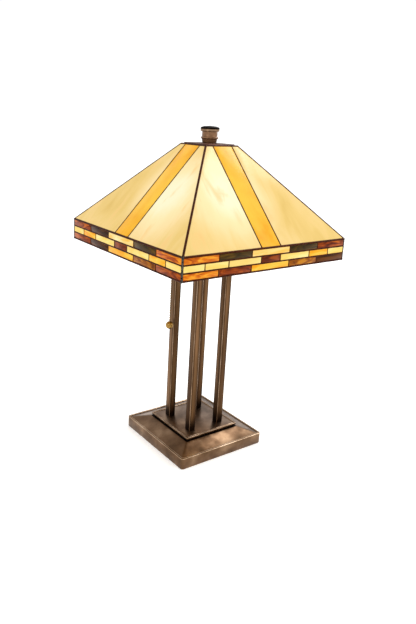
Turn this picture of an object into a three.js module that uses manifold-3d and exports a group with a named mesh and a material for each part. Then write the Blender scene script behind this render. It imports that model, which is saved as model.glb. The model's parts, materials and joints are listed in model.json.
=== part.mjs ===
// Square mission-style table lamp with a stained glass shade, about 600 mm high.
//
// A stepped square base carries four square tube columns. Threaded pipes inside the columns tie
// the base, the columns and a head plate together. A two-socket cluster stands on the head plate,
// and a threaded stem rises from it to the cap of the pyramid shade, held down by a finial.
// Millimetres, +Z up, origin on the resting surface under the middle of the lamp.

import * as THREE from 'three';
import { mergeVertices } from 'three/addons/utils/BufferGeometryUtils.js';
import Module from 'manifold-3d';

const wasm = await Module();
wasm.setup();

// ---------------------------------------------------------------- driving dimensions

// Clearances
const SEAT = 0.3; // between faces that rest on each other
const SLIP = 0.4; // between a shaft and its hole, on the radius
const PAST = 1; // how far a cutting shape runs past the face that it cuts
const EDGE = 0.8; // chamfer of the cast and spun edges

// Base
const BASE_SIDE = 190; // across the casting
const BASE_EDGE_TOP = 21.6; // top of the casting's upright side
const BASE_CORNER = 3; // radius of the casting's upright corners
const BASE_LIP = 3; // flat land round the top of the upright side
const BASE_STEP = 0.9; // drop from the land to the foot of the slope
const BASE_RISE = 10.6; // from the foot of the slope to its flat top
const BASE_WALL = 3.2;
const SKIRT_LIFT = 0.8; // casting's lower edge above the resting surface
const FELT_THICK = 3;
const BALLAST_ROOM = 12.5; // between the felt's edge and the ballast's edge
const BALLAST_THICK = 12;
const BALLAST_CORNER = 8;
const BALLAST_EYE = 12; // radius of the hole in its middle
const FELT_CORNER = 2;
const PLATE_MARGIN = 19.4; // plate outside the columns
const PLATE_OVERHANG = 4.8; // plate outside the flat top that it stands on
const PLATE_THICK = 4.8;
const PLATE_LAND = 2.6; // raised land round the plate's top
const PLATE_STEP = 0.6; // drop from the land to the plate's field

// Columns and the pipes inside them
const COLUMN_SIDE = 14;
const COLUMN_WALL = 1;
const COLUMN_CORNER = 1.5;
const COLUMN_SPACING = 66.8; // between column centres
const COLUMN_LENGTH = 335;
const PIPE_RADIUS = 4.9; // lamp pipe
const PIPE_WALL = 1.7;
const TIE_ROOM = 1.1; // between a column's inner face and the pipe inside it
const PIPE_END = 2; // pipe showing past the nut or plate that it is screwed through
const NUT_WALL = 3.7; // a nut's corners outside its pipe
const NUT_THICK = 5;
const HEAD_MARGIN = 1.6; // head plate outside the columns
const HEAD_THICK = 6;
const HEAD_CORNER = 5;

// Cord bushing in the base's back wall
const BUSHING_RADIUS = 5.2;
const BUSHING_BORE = 3.6;
const BUSHING_FLANGE = 7.5;
const BUSHING_FLANGE_THICK = 1.6; // also the length of its clip inside the wall

// Light cluster, sockets and bulbs
const CLUSTER_RADIUS = 24;
const CLUSTER_WALL = 3;
const CLUSTER_HEIGHT = 20; // drum that holds the switch
const CLUSTER_RIM = 38; // widest part of the drum's conical cover
const CLUSTER_RIM_THICK = 2;
const CLUSTER_BOSS = 11;
const CLUSTER_BOSS_RISE = 5;
const SOCKET_ROOM = 0.2; // between a socket's side and the cluster's boss, at the cover
const SOCKET_AZIMUTH = 135; // degrees round from +X, the second socket is opposite
const SOCKET_TILT = 22; // degrees out from upright
const SOCKET_RADIUS = 16;
const SOCKET_LENGTH = 36;
const SOCKET_FLOOR = 7;
const SOCKET_NIPPLE = 5; // length of the threaded nipple under a socket
const SOCKET_SHOULDER = 5; // height of the chamfer at a socket's foot
const BULB_CAP_RADIUS = 13;
const BULB_RADIUS = 24;
const BULB_LENGTH = 86;
const BULB_CONTACT_RADIUS = 4;
const BULB_CONTACT_HEIGHT = 2;
const SWITCH_LENGTH = 10; // out from the stem, and across
const SWITCH_ROOM = 3.5; // above and below the switch in its drum

// Pull chain
const CHAIN_AZIMUTH = 155; // degrees round from +X
const CHAIN_ROOM = 4.2; // between the head plate and the guide's bell
const CHAIN_LENGTH = 124;
const GUIDE_RADIUS = 3.6;
const GUIDE_BORE = 2.4;
const GUIDE_BEND = 8;
const GUIDE_DROP = 7; // straight length below the bend
const BELL_RADIUS = 5.4;
const BELL_LENGTH = 4;
const BELL_LIP = 0.8;
const STUB_RADIUS = 1.1;
const COUPLING_DROP = 2; // coupling's top below the guide's mouth
const COUPLING_RADIUS = 2.3;
const COUPLING_LENGTH = 6;
const CHAIN_RADIUS = 1.2;
const BALL_RADIUS = 7.5;

// Shade
const SHADE_SIDE = 356; // across the solder lines of the apron
const APRON_RISE = 0.2; // apron's lower edge above the head plate
const APRON_HEIGHT = 40.4;
const APRON_ROWS = 3;
const ROOF_HEIGHT = 151; // from the eave to the top ribs
const CAP_SIDE = 66.9;
const CAP_EDGE = 2.2; // height of the cap's edge
const CAP_CROWN = 0.5; // rise from the cap's edge to its middle
const CAP_SHEET = 1.8;
const RIB_RADIUS = 2; // solder beads along the folds and rims
const LINE_WIDTH = 3; // flat solder lines
const LINE_THICK = 4;
const GLASS_THICK = 3;
const STRIP_WIDTH = 42; // between the two lines that bound the middle strip
const FLANGE_THICK = 2;
const FLANGE_WIDTH = 12;
const WASHER_RADIUS = 15;
const WASHER_THICK = 2.2;

// Finial
const FINIAL_FOOT_RADIUS = 12.4;
const FINIAL_NECK_RADIUS = 13.8;
const FINIAL_BEAD_RADIUS = 15.8;
const FINIAL_BEAD_HEIGHT = 8.6; // middle of the bead above the foot
const FINIAL_BEAD_THICK = 4;
const FINIAL_HEAD_RADIUS = 16.8;
const FINIAL_NECK_LENGTH = 19.2; // from the foot to the underside of the head
const FINIAL_HEAD_THICK = 7.8;
const FINIAL_CROWN = 2.4;
const FINIAL_FLARE = 3; // height of the flare above the foot
const FINIAL_BORE_DEPTH = 14;

// ---------------------------------------------------------------- derived places

const columnsSide = COLUMN_SPACING + COLUMN_SIDE; // across the outside of the columns
const plateSide = columnsSide + 2 * PLATE_MARGIN;
const neckSide = plateSide - 2 * PLATE_OVERHANG;
const headSide = columnsSide + 2 * HEAD_MARGIN;
const tieRadius = COLUMN_SIDE / 2 - COLUMN_WALL - TIE_ROOM;
const gapTop = BASE_EDGE_TOP - BASE_STEP + BASE_RISE; // flat top of the casting
const plateBottom = gapTop + SEAT;
const plateTop = plateBottom + PLATE_THICK;
const plateField = plateTop - PLATE_STEP;
const columnBottom = plateField + SEAT;
const columnTop = columnBottom + COLUMN_LENGTH;
const headBottom = columnTop + SEAT;
const headTop = headBottom + HEAD_THICK;
const clusterBottom = headTop + SEAT;
const clusterRimTop = clusterBottom + CLUSTER_HEIGHT + CLUSTER_RIM_THICK;
const tilt = THREE.MathUtils.degToRad(SOCKET_TILT);
const socketReach = CLUSTER_BOSS + SOCKET_RADIUS * Math.cos(tilt) + SOCKET_ROOM;
const coverHeight = (radius) => clusterRimTop + (CLUSTER_RIM - radius) * Math.tan(tilt);
const bossTop = coverHeight(CLUSTER_BOSS) + CLUSTER_BOSS_RISE;
const apronBottom = headTop + APRON_RISE;
const eave = apronBottom + APRON_HEIGHT;
const roofTop = eave + ROOF_HEIGHT;
const eaveHalf = SHADE_SIDE / 2 - RIB_RADIUS; // middle of the apron's thickness
const roofSlope = (eaveHalf - CAP_SIDE / 2) / (ROOF_HEIGHT + CAP_EDGE);
const roofHalf = eaveHalf - ROOF_HEIGHT * roofSlope; // at the top ribs
const roofPitch = Math.atan2(1, roofSlope);
const roofLength = ROOF_HEIGHT / Math.sin(roofPitch);
const knotRadius = 1.1 * RIB_RADIUS; // blobs where the ribs meet
const capShoulder = roofTop + knotRadius + SEAT; // foot of the cap's sloping edge
const flangeTop = roofTop + RIB_RADIUS / 2;
const capBottom = flangeTop + SEAT;
const capEdgeTop = capBottom + CAP_EDGE;
const capCeiling = capEdgeTop - CAP_SHEET;
const capTop = capEdgeTop + CAP_CROWN;
const washerTop = capCeiling - SEAT;
const seatNutTop = washerTop - WASHER_THICK - SEAT;
const finialBottom = capTop + SEAT;
const stemTop = finialBottom + FINIAL_BORE_DEPTH - PAST;
const rowPitch = (APRON_HEIGHT - RIB_RADIUS) / APRON_ROWS;
const bulbStraight = SOCKET_LENGTH - SOCKET_FLOOR - SEAT; // the bulb's cap and neck in the socket
const guideAxis = clusterBottom + (CLUSTER_HEIGHT - CLUSTER_WALL) / 2;
const guideMouth = guideAxis - GUIDE_BEND - GUIDE_DROP;
const couplingTop = guideMouth - COUPLING_DROP;
const couplingBottom = couplingTop - COUPLING_LENGTH;
const chainAngle = THREE.MathUtils.degToRad(CHAIN_AZIMUTH);
const chainReach = (headSide / 2 + BELL_RADIUS + CHAIN_ROOM) / Math.abs(Math.cos(chainAngle));
const chainTop = couplingBottom - SEAT;
const chainBottom = chainTop - CHAIN_LENGTH;

// ---------------------------------------------------------------- shape helpers

// One closed surface from a geometry: shared corners joined, slivers at the axis dropped,
// faces pointing out.
function closedSurface(geometry) {
  const bare = new THREE.BufferGeometry();
  bare.setAttribute('position', geometry.getAttribute('position'));
  bare.setIndex(geometry.getIndex());
  const surface = mergeVertices(bare, 1e-4);
  const corners = surface.getIndex().array;
  const point = (i) => new THREE.Vector3().fromBufferAttribute(surface.getAttribute('position'), i);
  const kept = [];
  let volume = 0;
  for (let i = 0; i < corners.length; i += 3) {
    const [a, b, c] = corners.slice(i, i + 3);
    if (a === b || b === c || c === a) continue;
    kept.push([a, b, c]);
    volume += point(a).dot(point(b).cross(point(c)));
  }
  const turned = volume < 0 ? kept.map(([a, b, c]) => [a, c, b]) : kept;
  surface.setIndex(turned.flat());
  return surface;
}

function toSolid(geometry) {
  const surface = closedSurface(geometry);
  return new wasm.Manifold(new wasm.Mesh({
    numProp: 3,
    vertProperties: new Float32Array(surface.getAttribute('position').array),
    triVerts: new Uint32Array(surface.getIndex().array),
  }));
}

function fromSolid(solid) {
  const mesh = solid.getMesh();
  const geometry = new THREE.BufferGeometry();
  geometry.setAttribute('position', new THREE.BufferAttribute(mesh.vertProperties, mesh.numProp));
  geometry.setIndex(new THREE.BufferAttribute(mesh.triVerts, 1));
  return geometry;
}

function joined(geometries) {
  return fromSolid(geometries.map(toSolid).reduce((whole, next) => whole.add(next)));
}

function cut(geometry, tools) {
  return fromSolid(tools.map(toSolid).reduce((whole, tool) => whole.subtract(tool), toSolid(geometry)));
}

function common(first, second) {
  return fromSolid(toSolid(first).intersect(toSolid(second)));
}

// A body turned about +Z from [radius, height] points that start and end on the axis.
function turned(profile, sides) {
  const points = profile.map(([radius, height]) => new THREE.Vector2(radius, height));
  return closedSurface(new THREE.LatheGeometry(points, sides).rotateX(Math.PI / 2));
}

// A square body about +Z from [half width, height] points that start and end on the axis.
function squared(profile) {
  const points = profile.map(([half, height]) => new THREE.Vector2(half * Math.SQRT2, height));
  return closedSurface(new THREE.LatheGeometry(points, 4, Math.PI / 4).rotateX(Math.PI / 2));
}

function roundedSquare(Outline, side, corner) {
  const half = side / 2;
  const flat = half - corner;
  const outline = new Outline();
  outline.moveTo(-flat, -half);
  outline.lineTo(flat, -half);
  outline.absarc(flat, -flat, corner, -Math.PI / 2, 0);
  outline.lineTo(half, flat);
  outline.absarc(flat, flat, corner, 0, Math.PI / 2);
  outline.lineTo(-flat, half);
  outline.absarc(-flat, flat, corner, Math.PI / 2, Math.PI);
  outline.lineTo(-half, -flat);
  outline.absarc(-flat, -flat, corner, Math.PI, Math.PI * 1.5);
  return outline;
}

function circle(Outline, radius, x = 0, y = 0) {
  return new Outline().absarc(x, y, radius, 0, Math.PI * 2, false);
}

function extruded(shape, bottom, height, curveSegments = 3) {
  const options = { depth: height, bevelEnabled: false, curveSegments };
  return new THREE.ExtrudeGeometry(shape, options).translate(0, 0, bottom);
}

function rod(radius, bottom, top, sides = 16) {
  return turned([[0, bottom], [radius, bottom], [radius, top], [0, top]], sides);
}

function pipe(radius, bottom, top) {
  const shape = circle(THREE.Shape, radius);
  shape.holes.push(circle(THREE.Path, radius - PIPE_WALL));
  return extruded(shape, bottom, top - bottom, 8);
}

// A hexagon nut for a pipe.
function nut(pipeRadius, bottom) {
  const reach = pipeRadius + NUT_WALL;
  const corners = Array.from({ length: 6 }, (_, i) => new THREE.Vector2(
    reach * Math.cos(i * Math.PI / 3),
    reach * Math.sin(i * Math.PI / 3),
  ));
  const shape = new THREE.Shape(corners);
  shape.holes.push(circle(THREE.Path, pipeRadius + SLIP));
  return extruded(shape, bottom, NUT_THICK, 8);
}

// A round bar between two points.
function bar(start, end, radius) {
  const span = new THREE.Vector3().subVectors(end, start);
  const turn = new THREE.Quaternion().setFromUnitVectors(
    new THREE.Vector3(0, 1, 0),
    span.clone().normalize(),
  );
  return new THREE.CylinderGeometry(radius, radius, span.length(), 8)
    .applyQuaternion(turn)
    .translate(...start.clone().add(end).multiplyScalar(0.5).toArray());
}

// A polygon whose edges are moved inwards, each by its own amount. Corners run anticlockwise.
function insetPolygon(corners, insets) {
  const lines = corners.map((corner, i) => {
    const along = corners[(i + 1) % corners.length].clone().sub(corner).normalize();
    const inwards = new THREE.Vector2(-along.y, along.x);
    return { along, from: corner.clone().addScaledVector(inwards, insets[i]) };
  });
  return lines.map((line, i) => {
    const before = lines[(i + lines.length - 1) % lines.length];
    const apart = line.from.clone().sub(before.from);
    const reach = apart.cross(line.along) / before.along.cross(line.along);
    return before.from.clone().addScaledVector(before.along, reach);
  });
}

// ---------------------------------------------------------------- finishes

const finish = (color, roughness, metalness) => ({ color, roughness, metalness });
const BRONZE = finish(0x6b4f38, 0.45, 0.85);
const STEEL = finish(0x8a8a88, 0.4, 1);
const IRON = finish(0x3a3a3a, 0.8, 0.6);
const FELT = finish(0x2c4a34, 0.95, 0);
const BRASS = finish(0xc9a14a, 0.3, 1);
const SOLDER = finish(0x3b2617, 0.5, 0.7);
const PHENOLIC = finish(0x1c1a19, 0.5, 0);
const PORCELAIN = finish(0xf2f0ea, 0.3, 0);
const CREAM_GLASS = finish(0xf3e3b4, 0.25, 0);
const AMBER_GLASS = finish(0xf5b83a, 0.25, 0);
const YELLOW_GLASS = finish(0xf3d269, 0.25, 0);
const BROWN_GLASS = finish(0x9a4a16, 0.25, 0);
const BULB_GLASS = finish(0xfff6df, 0.2, 0);

function piece(name, geometry, look) {
  const mesh = new THREE.Mesh(geometry, new THREE.MeshStandardMaterial(look));
  mesh.name = name;
  return mesh;
}

const group = new THREE.Group();

// ---------------------------------------------------------------- base

const half = (side) => side / 2;
const feltSide = BASE_SIDE - 2 * (BASE_WALL + SEAT);
const bushingHeight = (SKIRT_LIFT + BASE_EDGE_TOP) / 2;
const lipHalf = half(BASE_SIDE) - BASE_LIP;
const slopeFoot = BASE_EDGE_TOP - BASE_STEP;
const columnPlaces = [
  ['front_left', -1, -1],
  ['front_right', 1, -1],
  ['back_right', 1, 1],
  ['back_left', -1, 1],
].map(([name, x, y]) => [name, x * half(COLUMN_SPACING), y * half(COLUMN_SPACING)]);

function tieHoles(bottom, top) {
  return columnPlaces.map(([, x, y]) => rod(tieRadius + SLIP, bottom, top).translate(x, y, 0));
}

function baseCasting() {
  const outside = squared([
    [0, SKIRT_LIFT],
    [half(BASE_SIDE), SKIRT_LIFT],
    [half(BASE_SIDE), BASE_EDGE_TOP],
    [lipHalf, BASE_EDGE_TOP],
    [lipHalf, slopeFoot],
    [half(neckSide), gapTop],
    [0, gapTop],
  ]);
  const block = extruded(roundedSquare(THREE.Shape, BASE_SIDE, BASE_CORNER), SKIRT_LIFT, gapTop);
  const hollow = squared([
    [0, 0],
    [half(BASE_SIDE) - BASE_WALL, 0],
    [half(BASE_SIDE) - BASE_WALL, slopeFoot - BASE_WALL],
    [half(neckSide), gapTop - BASE_WALL],
    [0, gapTop - BASE_WALL],
  ]);
  const cordHole = rod(BUSHING_RADIUS + SLIP, 0, BASE_SIDE)
    .rotateX(-Math.PI / 2)
    .translate(0, 0, bushingHeight);
  return cut(common(outside, block), [hollow, cordHole, ...tieHoles(0, plateTop)]);
}

function basePlate() {
  const outside = squared([
    [0, plateBottom],
    [half(plateSide), plateBottom],
    [half(plateSide), plateTop - EDGE],
    [half(plateSide) - EDGE, plateTop],
    [half(plateSide) - PLATE_LAND, plateTop],
    [half(plateSide) - PLATE_LAND, plateField],
    [0, plateField],
  ]);
  return cut(outside, tieHoles(0, plateTop + PAST));
}

function ballast() {
  const side = feltSide - 2 * BALLAST_ROOM;
  const slab = extruded(roundedSquare(THREE.Shape, side, BALLAST_CORNER), FELT_THICK + SEAT, BALLAST_THICK);
  return cut(slab, [rod(BALLAST_EYE, 0, gapTop, 24)]);
}

function cordBushing() {
  const inner = half(BASE_SIDE) - BASE_WALL - BUSHING_FLANGE_THICK;
  const outer = half(BASE_SIDE) + SEAT;
  const profile = [
    [0, inner],
    [BUSHING_RADIUS, inner],
    [BUSHING_RADIUS, outer],
    [BUSHING_FLANGE, outer],
    [BUSHING_FLANGE - EDGE, outer + BUSHING_FLANGE_THICK],
    [0, outer + BUSHING_FLANGE_THICK],
  ];
  return cut(turned(profile, 20), [rod(BUSHING_BORE, 0, BASE_SIDE, 16)])
    .rotateX(-Math.PI / 2)
    .translate(0, 0, bushingHeight);
}

const feltShape = roundedSquare(THREE.Shape, feltSide, FELT_CORNER);
group.add(piece('felt_pad', extruded(feltShape, 0, FELT_THICK), FELT));
group.add(piece('ballast_weight', ballast(), IRON));
group.add(piece('base_casting', baseCasting(), BRONZE));
group.add(piece('base_plate', basePlate(), BRONZE));
group.add(piece('cord_bushing', cordBushing(), PHENOLIC));

// ---------------------------------------------------------------- columns

function column() {
  const shape = roundedSquare(THREE.Shape, COLUMN_SIDE, COLUMN_CORNER);
  const inside = COLUMN_SIDE - 2 * COLUMN_WALL;
  shape.holes.push(roundedSquare(THREE.Path, inside, COLUMN_CORNER - COLUMN_WALL));
  return extruded(shape, columnBottom, COLUMN_LENGTH);
}

const footNutBottom = gapTop - BASE_WALL - SEAT - NUT_THICK;
for (const [place, x, y] of columnPlaces) {
  const stack = new THREE.Group();
  stack.position.set(x, y, 0);
  stack.add(piece(`column_${place}`, column(), BRONZE));
  stack.add(piece(`tie_pipe_${place}`, pipe(tieRadius, footNutBottom - PIPE_END, headTop - SEAT), STEEL));
  stack.add(piece(`foot_nut_${place}`, nut(tieRadius, footNutBottom), STEEL));
  group.add(stack);
}

// ---------------------------------------------------------------- head plate and stem

function headPlate() {
  const slab = extruded(roundedSquare(THREE.Shape, headSide, HEAD_CORNER), headBottom, HEAD_THICK);
  const stemHole = rod(PIPE_RADIUS + SLIP, headBottom - PAST, headTop + PAST);
  return cut(slab, [stemHole, ...tieHoles(headBottom - PAST, headTop + PAST)]);
}

const stemNutBottom = headBottom - SEAT - NUT_THICK;
group.add(piece('head_plate', headPlate(), BRONZE));
group.add(piece('centre_stem', pipe(PIPE_RADIUS, stemNutBottom - PIPE_END, stemTop), STEEL));
group.add(piece('stem_lower_nut', nut(PIPE_RADIUS, stemNutBottom), STEEL));
group.add(piece('cluster_lock_nut', nut(PIPE_RADIUS, bossTop + SEAT), STEEL));
group.add(piece('shade_seat_nut', nut(PIPE_RADIUS, seatNutTop - NUT_THICK), STEEL));

// ---------------------------------------------------------------- light cluster

function clusterBody() {
  const drum = turned([
    [0, clusterBottom],
    [CLUSTER_RADIUS, clusterBottom],
    [CLUSTER_RADIUS, clusterBottom + CLUSTER_HEIGHT],
    [CLUSTER_RIM, clusterRimTop - CLUSTER_RIM_THICK],
    [CLUSTER_RIM, clusterRimTop],
    [CLUSTER_BOSS, coverHeight(CLUSTER_BOSS)],
    [CLUSTER_BOSS, bossTop],
    [0, bossTop],
  ], 32);
  const ceiling = clusterBottom + CLUSTER_HEIGHT - CLUSTER_WALL;
  const hollow = rod(CLUSTER_RADIUS - CLUSTER_WALL, clusterBottom - PAST, ceiling, 32);
  const stemHole = rod(PIPE_RADIUS + SLIP, clusterBottom - PAST, bossTop + PAST);
  const nippleHoles = [0, Math.PI].map((turn) => (
    rod(PIPE_RADIUS + SLIP, -2 * CLUSTER_HEIGHT, PAST).applyMatrix4(socketFrame(turn))
  ));
  const guideHole = rod(GUIDE_RADIUS + SLIP, 0, CLUSTER_RADIUS + PAST)
    .rotateY(Math.PI / 2)
    .rotateZ(chainAngle)
    .translate(0, 0, guideAxis);
  return cut(drum, [hollow, stemHole, guideHole, ...nippleHoles]);
}

// The frame of a socket: its origin on the cluster's cover, +Z out along the bulb's axis.
function socketFrame(turn) {
  const azimuth = THREE.MathUtils.degToRad(SOCKET_AZIMUTH) + turn;
  return new THREE.Matrix4()
    .makeRotationZ(azimuth)
    .multiply(new THREE.Matrix4().makeTranslation(socketReach, 0, coverHeight(socketReach)))
    .multiply(new THREE.Matrix4().makeRotationY(tilt));
}

function socket() {
  const boreRadius = BULB_CAP_RADIUS + 2 * SLIP;
  return turned([
    [0, -SOCKET_NIPPLE],
    [PIPE_RADIUS, -SOCKET_NIPPLE],
    [PIPE_RADIUS, SEAT],
    [SOCKET_RADIUS - SOCKET_SHOULDER / 2, SEAT],
    [SOCKET_RADIUS, SOCKET_SHOULDER],
    [SOCKET_RADIUS, SOCKET_LENGTH - EDGE],
    [SOCKET_RADIUS - EDGE, SOCKET_LENGTH],
    [boreRadius, SOCKET_LENGTH],
    [boreRadius, SOCKET_FLOOR],
    [0, SOCKET_FLOOR],
  ], 24);
}

function bulb() {
  const equator = BULB_LENGTH - BULB_RADIUS;
  const neck = new THREE.CubicBezierCurve(
    new THREE.Vector2(BULB_CAP_RADIUS, bulbStraight),
    new THREE.Vector2(BULB_CAP_RADIUS, (bulbStraight + equator) / 2),
    new THREE.Vector2(BULB_RADIUS, (bulbStraight + equator) / 2),
    new THREE.Vector2(BULB_RADIUS, equator),
  );
  const profile = [
    [0, 0],
    [BULB_CONTACT_RADIUS, 0],
    [BULB_CONTACT_RADIUS, BULB_CONTACT_HEIGHT],
    [BULB_CAP_RADIUS, 2.5 * BULB_CONTACT_HEIGHT],
    ...neck.getPoints(5).map((point) => [point.x, point.y]),
  ];
  const domeSteps = 5;
  for (let i = 1; i < domeSteps; i += 1) {
    const angle = i / domeSteps * Math.PI / 2;
    profile.push([BULB_RADIUS * Math.cos(angle), equator + BULB_RADIUS * Math.sin(angle)]);
  }
  profile.push([0, BULB_LENGTH]);
  return turned(profile, 20).translate(0, 0, SOCKET_FLOOR + SEAT);
}

group.add(piece('cluster_body', clusterBody(), BRONZE));
[['a', 0], ['b', Math.PI]].forEach(([letter, turn]) => {
  const holder = new THREE.Group();
  holder.applyMatrix4(socketFrame(turn));
  holder.add(piece(`socket_${letter}`, socket(), PORCELAIN));
  holder.add(piece(`bulb_${letter}`, bulb(), BULB_GLASS));
  group.add(holder);
});

// ---------------------------------------------------------------- switch and pull chain

// Everything on the chain's side is made in the plane of the chain, +X outwards.
const chainSide = new THREE.Group();
chainSide.rotation.z = chainAngle;

const switchInner = PIPE_RADIUS + 2 * SLIP;
const switchOuter = switchInner + SWITCH_LENGTH;

function pullSwitch() {
  const height = CLUSTER_HEIGHT - CLUSTER_WALL - 2 * SWITCH_ROOM;
  const body = new THREE.BoxGeometry(SWITCH_LENGTH, SWITCH_LENGTH, height)
    .translate(switchInner + SWITCH_LENGTH / 2, 0, 0);
  const mouth = rod(GUIDE_BORE, switchOuter - GUIDE_BORE, switchOuter + PAST, 12).rotateY(Math.PI / 2);
  return cut(body, [mouth]).translate(0, 0, guideAxis);
}

function chainGuide() {
  const start = switchOuter + SEAT;
  const at = (x, z) => new THREE.Vector3(x, 0, z);
  const route = new THREE.CurvePath();
  route.add(new THREE.LineCurve3(at(start, guideAxis), at(chainReach - GUIDE_BEND, guideAxis)));
  route.add(new THREE.QuadraticBezierCurve3(
    at(chainReach - GUIDE_BEND, guideAxis),
    at(chainReach, guideAxis),
    at(chainReach, guideAxis - GUIDE_BEND),
  ));
  route.add(new THREE.LineCurve3(at(chainReach, guideAxis - GUIDE_BEND), at(chainReach, guideMouth)));
  const section = circle(THREE.Shape, GUIDE_RADIUS);
  section.holes.push(circle(THREE.Path, GUIDE_BORE));
  const tube = new THREE.ExtrudeGeometry(section, { extrudePath: route, steps: 20, curveSegments: 6 });
  const bellBottom = guideMouth - BELL_LIP;
  const bellOutside = turned([
    [0, bellBottom],
    [BELL_RADIUS, bellBottom],
    [BELL_RADIUS, guideMouth],
    [(GUIDE_RADIUS + GUIDE_BORE) / 2, bellBottom + BELL_LENGTH],
    [0, bellBottom + BELL_LENGTH],
  ], 16);
  const bellInside = turned([
    [0, bellBottom - PAST],
    [BELL_RADIUS - BELL_LIP, bellBottom - PAST],
    [BELL_RADIUS - BELL_LIP, bellBottom],
    [GUIDE_BORE, bellBottom + BELL_LENGTH / 2],
    [GUIDE_BORE, bellBottom + 2 * BELL_LENGTH],
    [0, bellBottom + 2 * BELL_LENGTH],
  ], 16);
  return joined([tube, cut(bellOutside, [bellInside]).translate(chainReach, 0, 0)]);
}

function pullStub() {
  const stubTop = guideMouth + GUIDE_DROP - PAST;
  return turned([
    [0, couplingBottom],
    [COUPLING_RADIUS - EDGE, couplingBottom],
    [COUPLING_RADIUS, couplingBottom + EDGE],
    [COUPLING_RADIUS, couplingTop - EDGE],
    [STUB_RADIUS, couplingTop],
    [STUB_RADIUS, stubTop],
    [0, stubTop],
  ], 12).translate(chainReach, 0, 0);
}

function pullBall() {
  const ball = new THREE.SphereGeometry(BALL_RADIUS, 20, 12).rotateX(Math.PI / 2);
  return ball.translate(chainReach, 0, chainBottom - SEAT - BALL_RADIUS);
}

const chainRun = rod(CHAIN_RADIUS, chainBottom, chainTop, 8).translate(chainReach, 0, 0);
chainSide.add(piece('pull_switch', pullSwitch(), PHENOLIC));
chainSide.add(piece('chain_guide', chainGuide(), BRASS));
chainSide.add(piece('pull_stub', pullStub(), BRASS));
chainSide.add(piece('pull_chain', chainRun, BRASS));
chainSide.add(piece('pull_ball', closedSurface(pullBall()), BRASS));
group.add(chainSide);

// ---------------------------------------------------------------- shade

const sides = ['front', 'right', 'back', 'left'];
const rim = apronBottom + RIB_RADIUS; // middle of the bottom rib
const ribGap = RIB_RADIUS + SEAT;
const lineGap = LINE_WIDTH / 2 + SEAT;
const rowDrop = (row) => -row * rowPitch; // a row's upper edge, measured from the eave

// A pane lies in its own plane, x along the eave and y up the glass, before it is tilted.
function pane(corners, insets) {
  const points = insetPolygon(corners.map(([x, y]) => new THREE.Vector2(x, y)), insets);
  return extruded(new THREE.Shape(points), -GLASS_THICK / 2, GLASS_THICK);
}

function stripPane() {
  const edge = STRIP_WIDTH / 2;
  const corners = [[-edge, 0], [edge, 0], [edge, roofLength], [-edge, roofLength]];
  return pane(corners, [ribGap, lineGap, ribGap, lineGap]);
}

function rightPane() {
  const edge = STRIP_WIDTH / 2;
  const corners = [[edge, 0], [eaveHalf, 0], [roofHalf, roofLength], [edge, roofLength]];
  return pane(corners, [ribGap, ribGap, ribGap, lineGap]);
}

function leftPane() {
  const edge = STRIP_WIDTH / 2;
  const corners = [[-eaveHalf, 0], [-edge, 0], [-edge, roofLength], [-roofHalf, roofLength]];
  return pane(corners, [ribGap, lineGap, ribGap, ribGap]);
}

function apronRow(row) {
  const lower = rowDrop(row + 1);
  const upper = rowDrop(row);
  const corners = [[-eaveHalf, lower], [eaveHalf, lower], [eaveHalf, upper], [-eaveHalf, upper]];
  const lowerGap = row === APRON_ROWS - 1 ? ribGap : lineGap;
  const upperGap = row === 0 ? ribGap : lineGap;
  const cornerGap = ribGap + GLASS_THICK / 2;
  return pane(corners, [lowerGap, cornerGap, upperGap, cornerGap]);
}

// Solder lines and ribs of one side: its half of the folds is made by the next side.
function sideLines() {
  const at = (x, halfWidth, z) => new THREE.Vector3(x, -halfWidth, z);
  const ribs = [
    bar(at(-eaveHalf, eaveHalf, eave), at(eaveHalf, eaveHalf, eave), RIB_RADIUS),
    bar(at(-eaveHalf, eaveHalf, rim), at(eaveHalf, eaveHalf, rim), RIB_RADIUS),
    bar(at(-roofHalf, roofHalf, roofTop), at(roofHalf, roofHalf, roofTop), RIB_RADIUS),
    bar(at(eaveHalf, eaveHalf, eave), at(roofHalf, roofHalf, roofTop), RIB_RADIUS),
    bar(at(eaveHalf, eaveHalf, rim), at(eaveHalf, eaveHalf, eave), RIB_RADIUS),
  ];
  const knots = [[eaveHalf, rim], [eaveHalf, eave], [roofHalf, roofTop]].map(([out, z]) => (
    new THREE.IcosahedronGeometry(knotRadius, 1).translate(out, -out, z)
  ));
  const stripLines = [-1, 1].map((hand) => (
    new THREE.BoxGeometry(LINE_WIDTH, roofLength, LINE_THICK)
      .translate(hand * STRIP_WIDTH / 2, roofLength / 2, 0)
      .rotateX(roofPitch)
      .translate(0, -eaveHalf, eave)
  ));
  const rowLines = Array.from({ length: APRON_ROWS - 1 }, (_, i) => (
    new THREE.BoxGeometry(2 * eaveHalf, LINE_THICK, LINE_WIDTH)
      .translate(0, -eaveHalf, eave + rowDrop(i + 1))
  ));
  return [...ribs, ...knots, ...stripLines, ...rowLines];
}

function solderLattice() {
  const frame = roundedSquare(THREE.Shape, 2 * roofHalf, EDGE);
  frame.holes.push(roundedSquare(THREE.Path, 2 * (roofHalf - FLANGE_WIDTH), EDGE));
  const flange = extruded(frame, flangeTop - FLANGE_THICK, FLANGE_THICK, 1);
  const lines = sides.flatMap((_, i) => (
    sideLines().map((line) => line.rotateZ(i * Math.PI / 2))
  ));
  return joined([flange, ...lines]);
}

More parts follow.
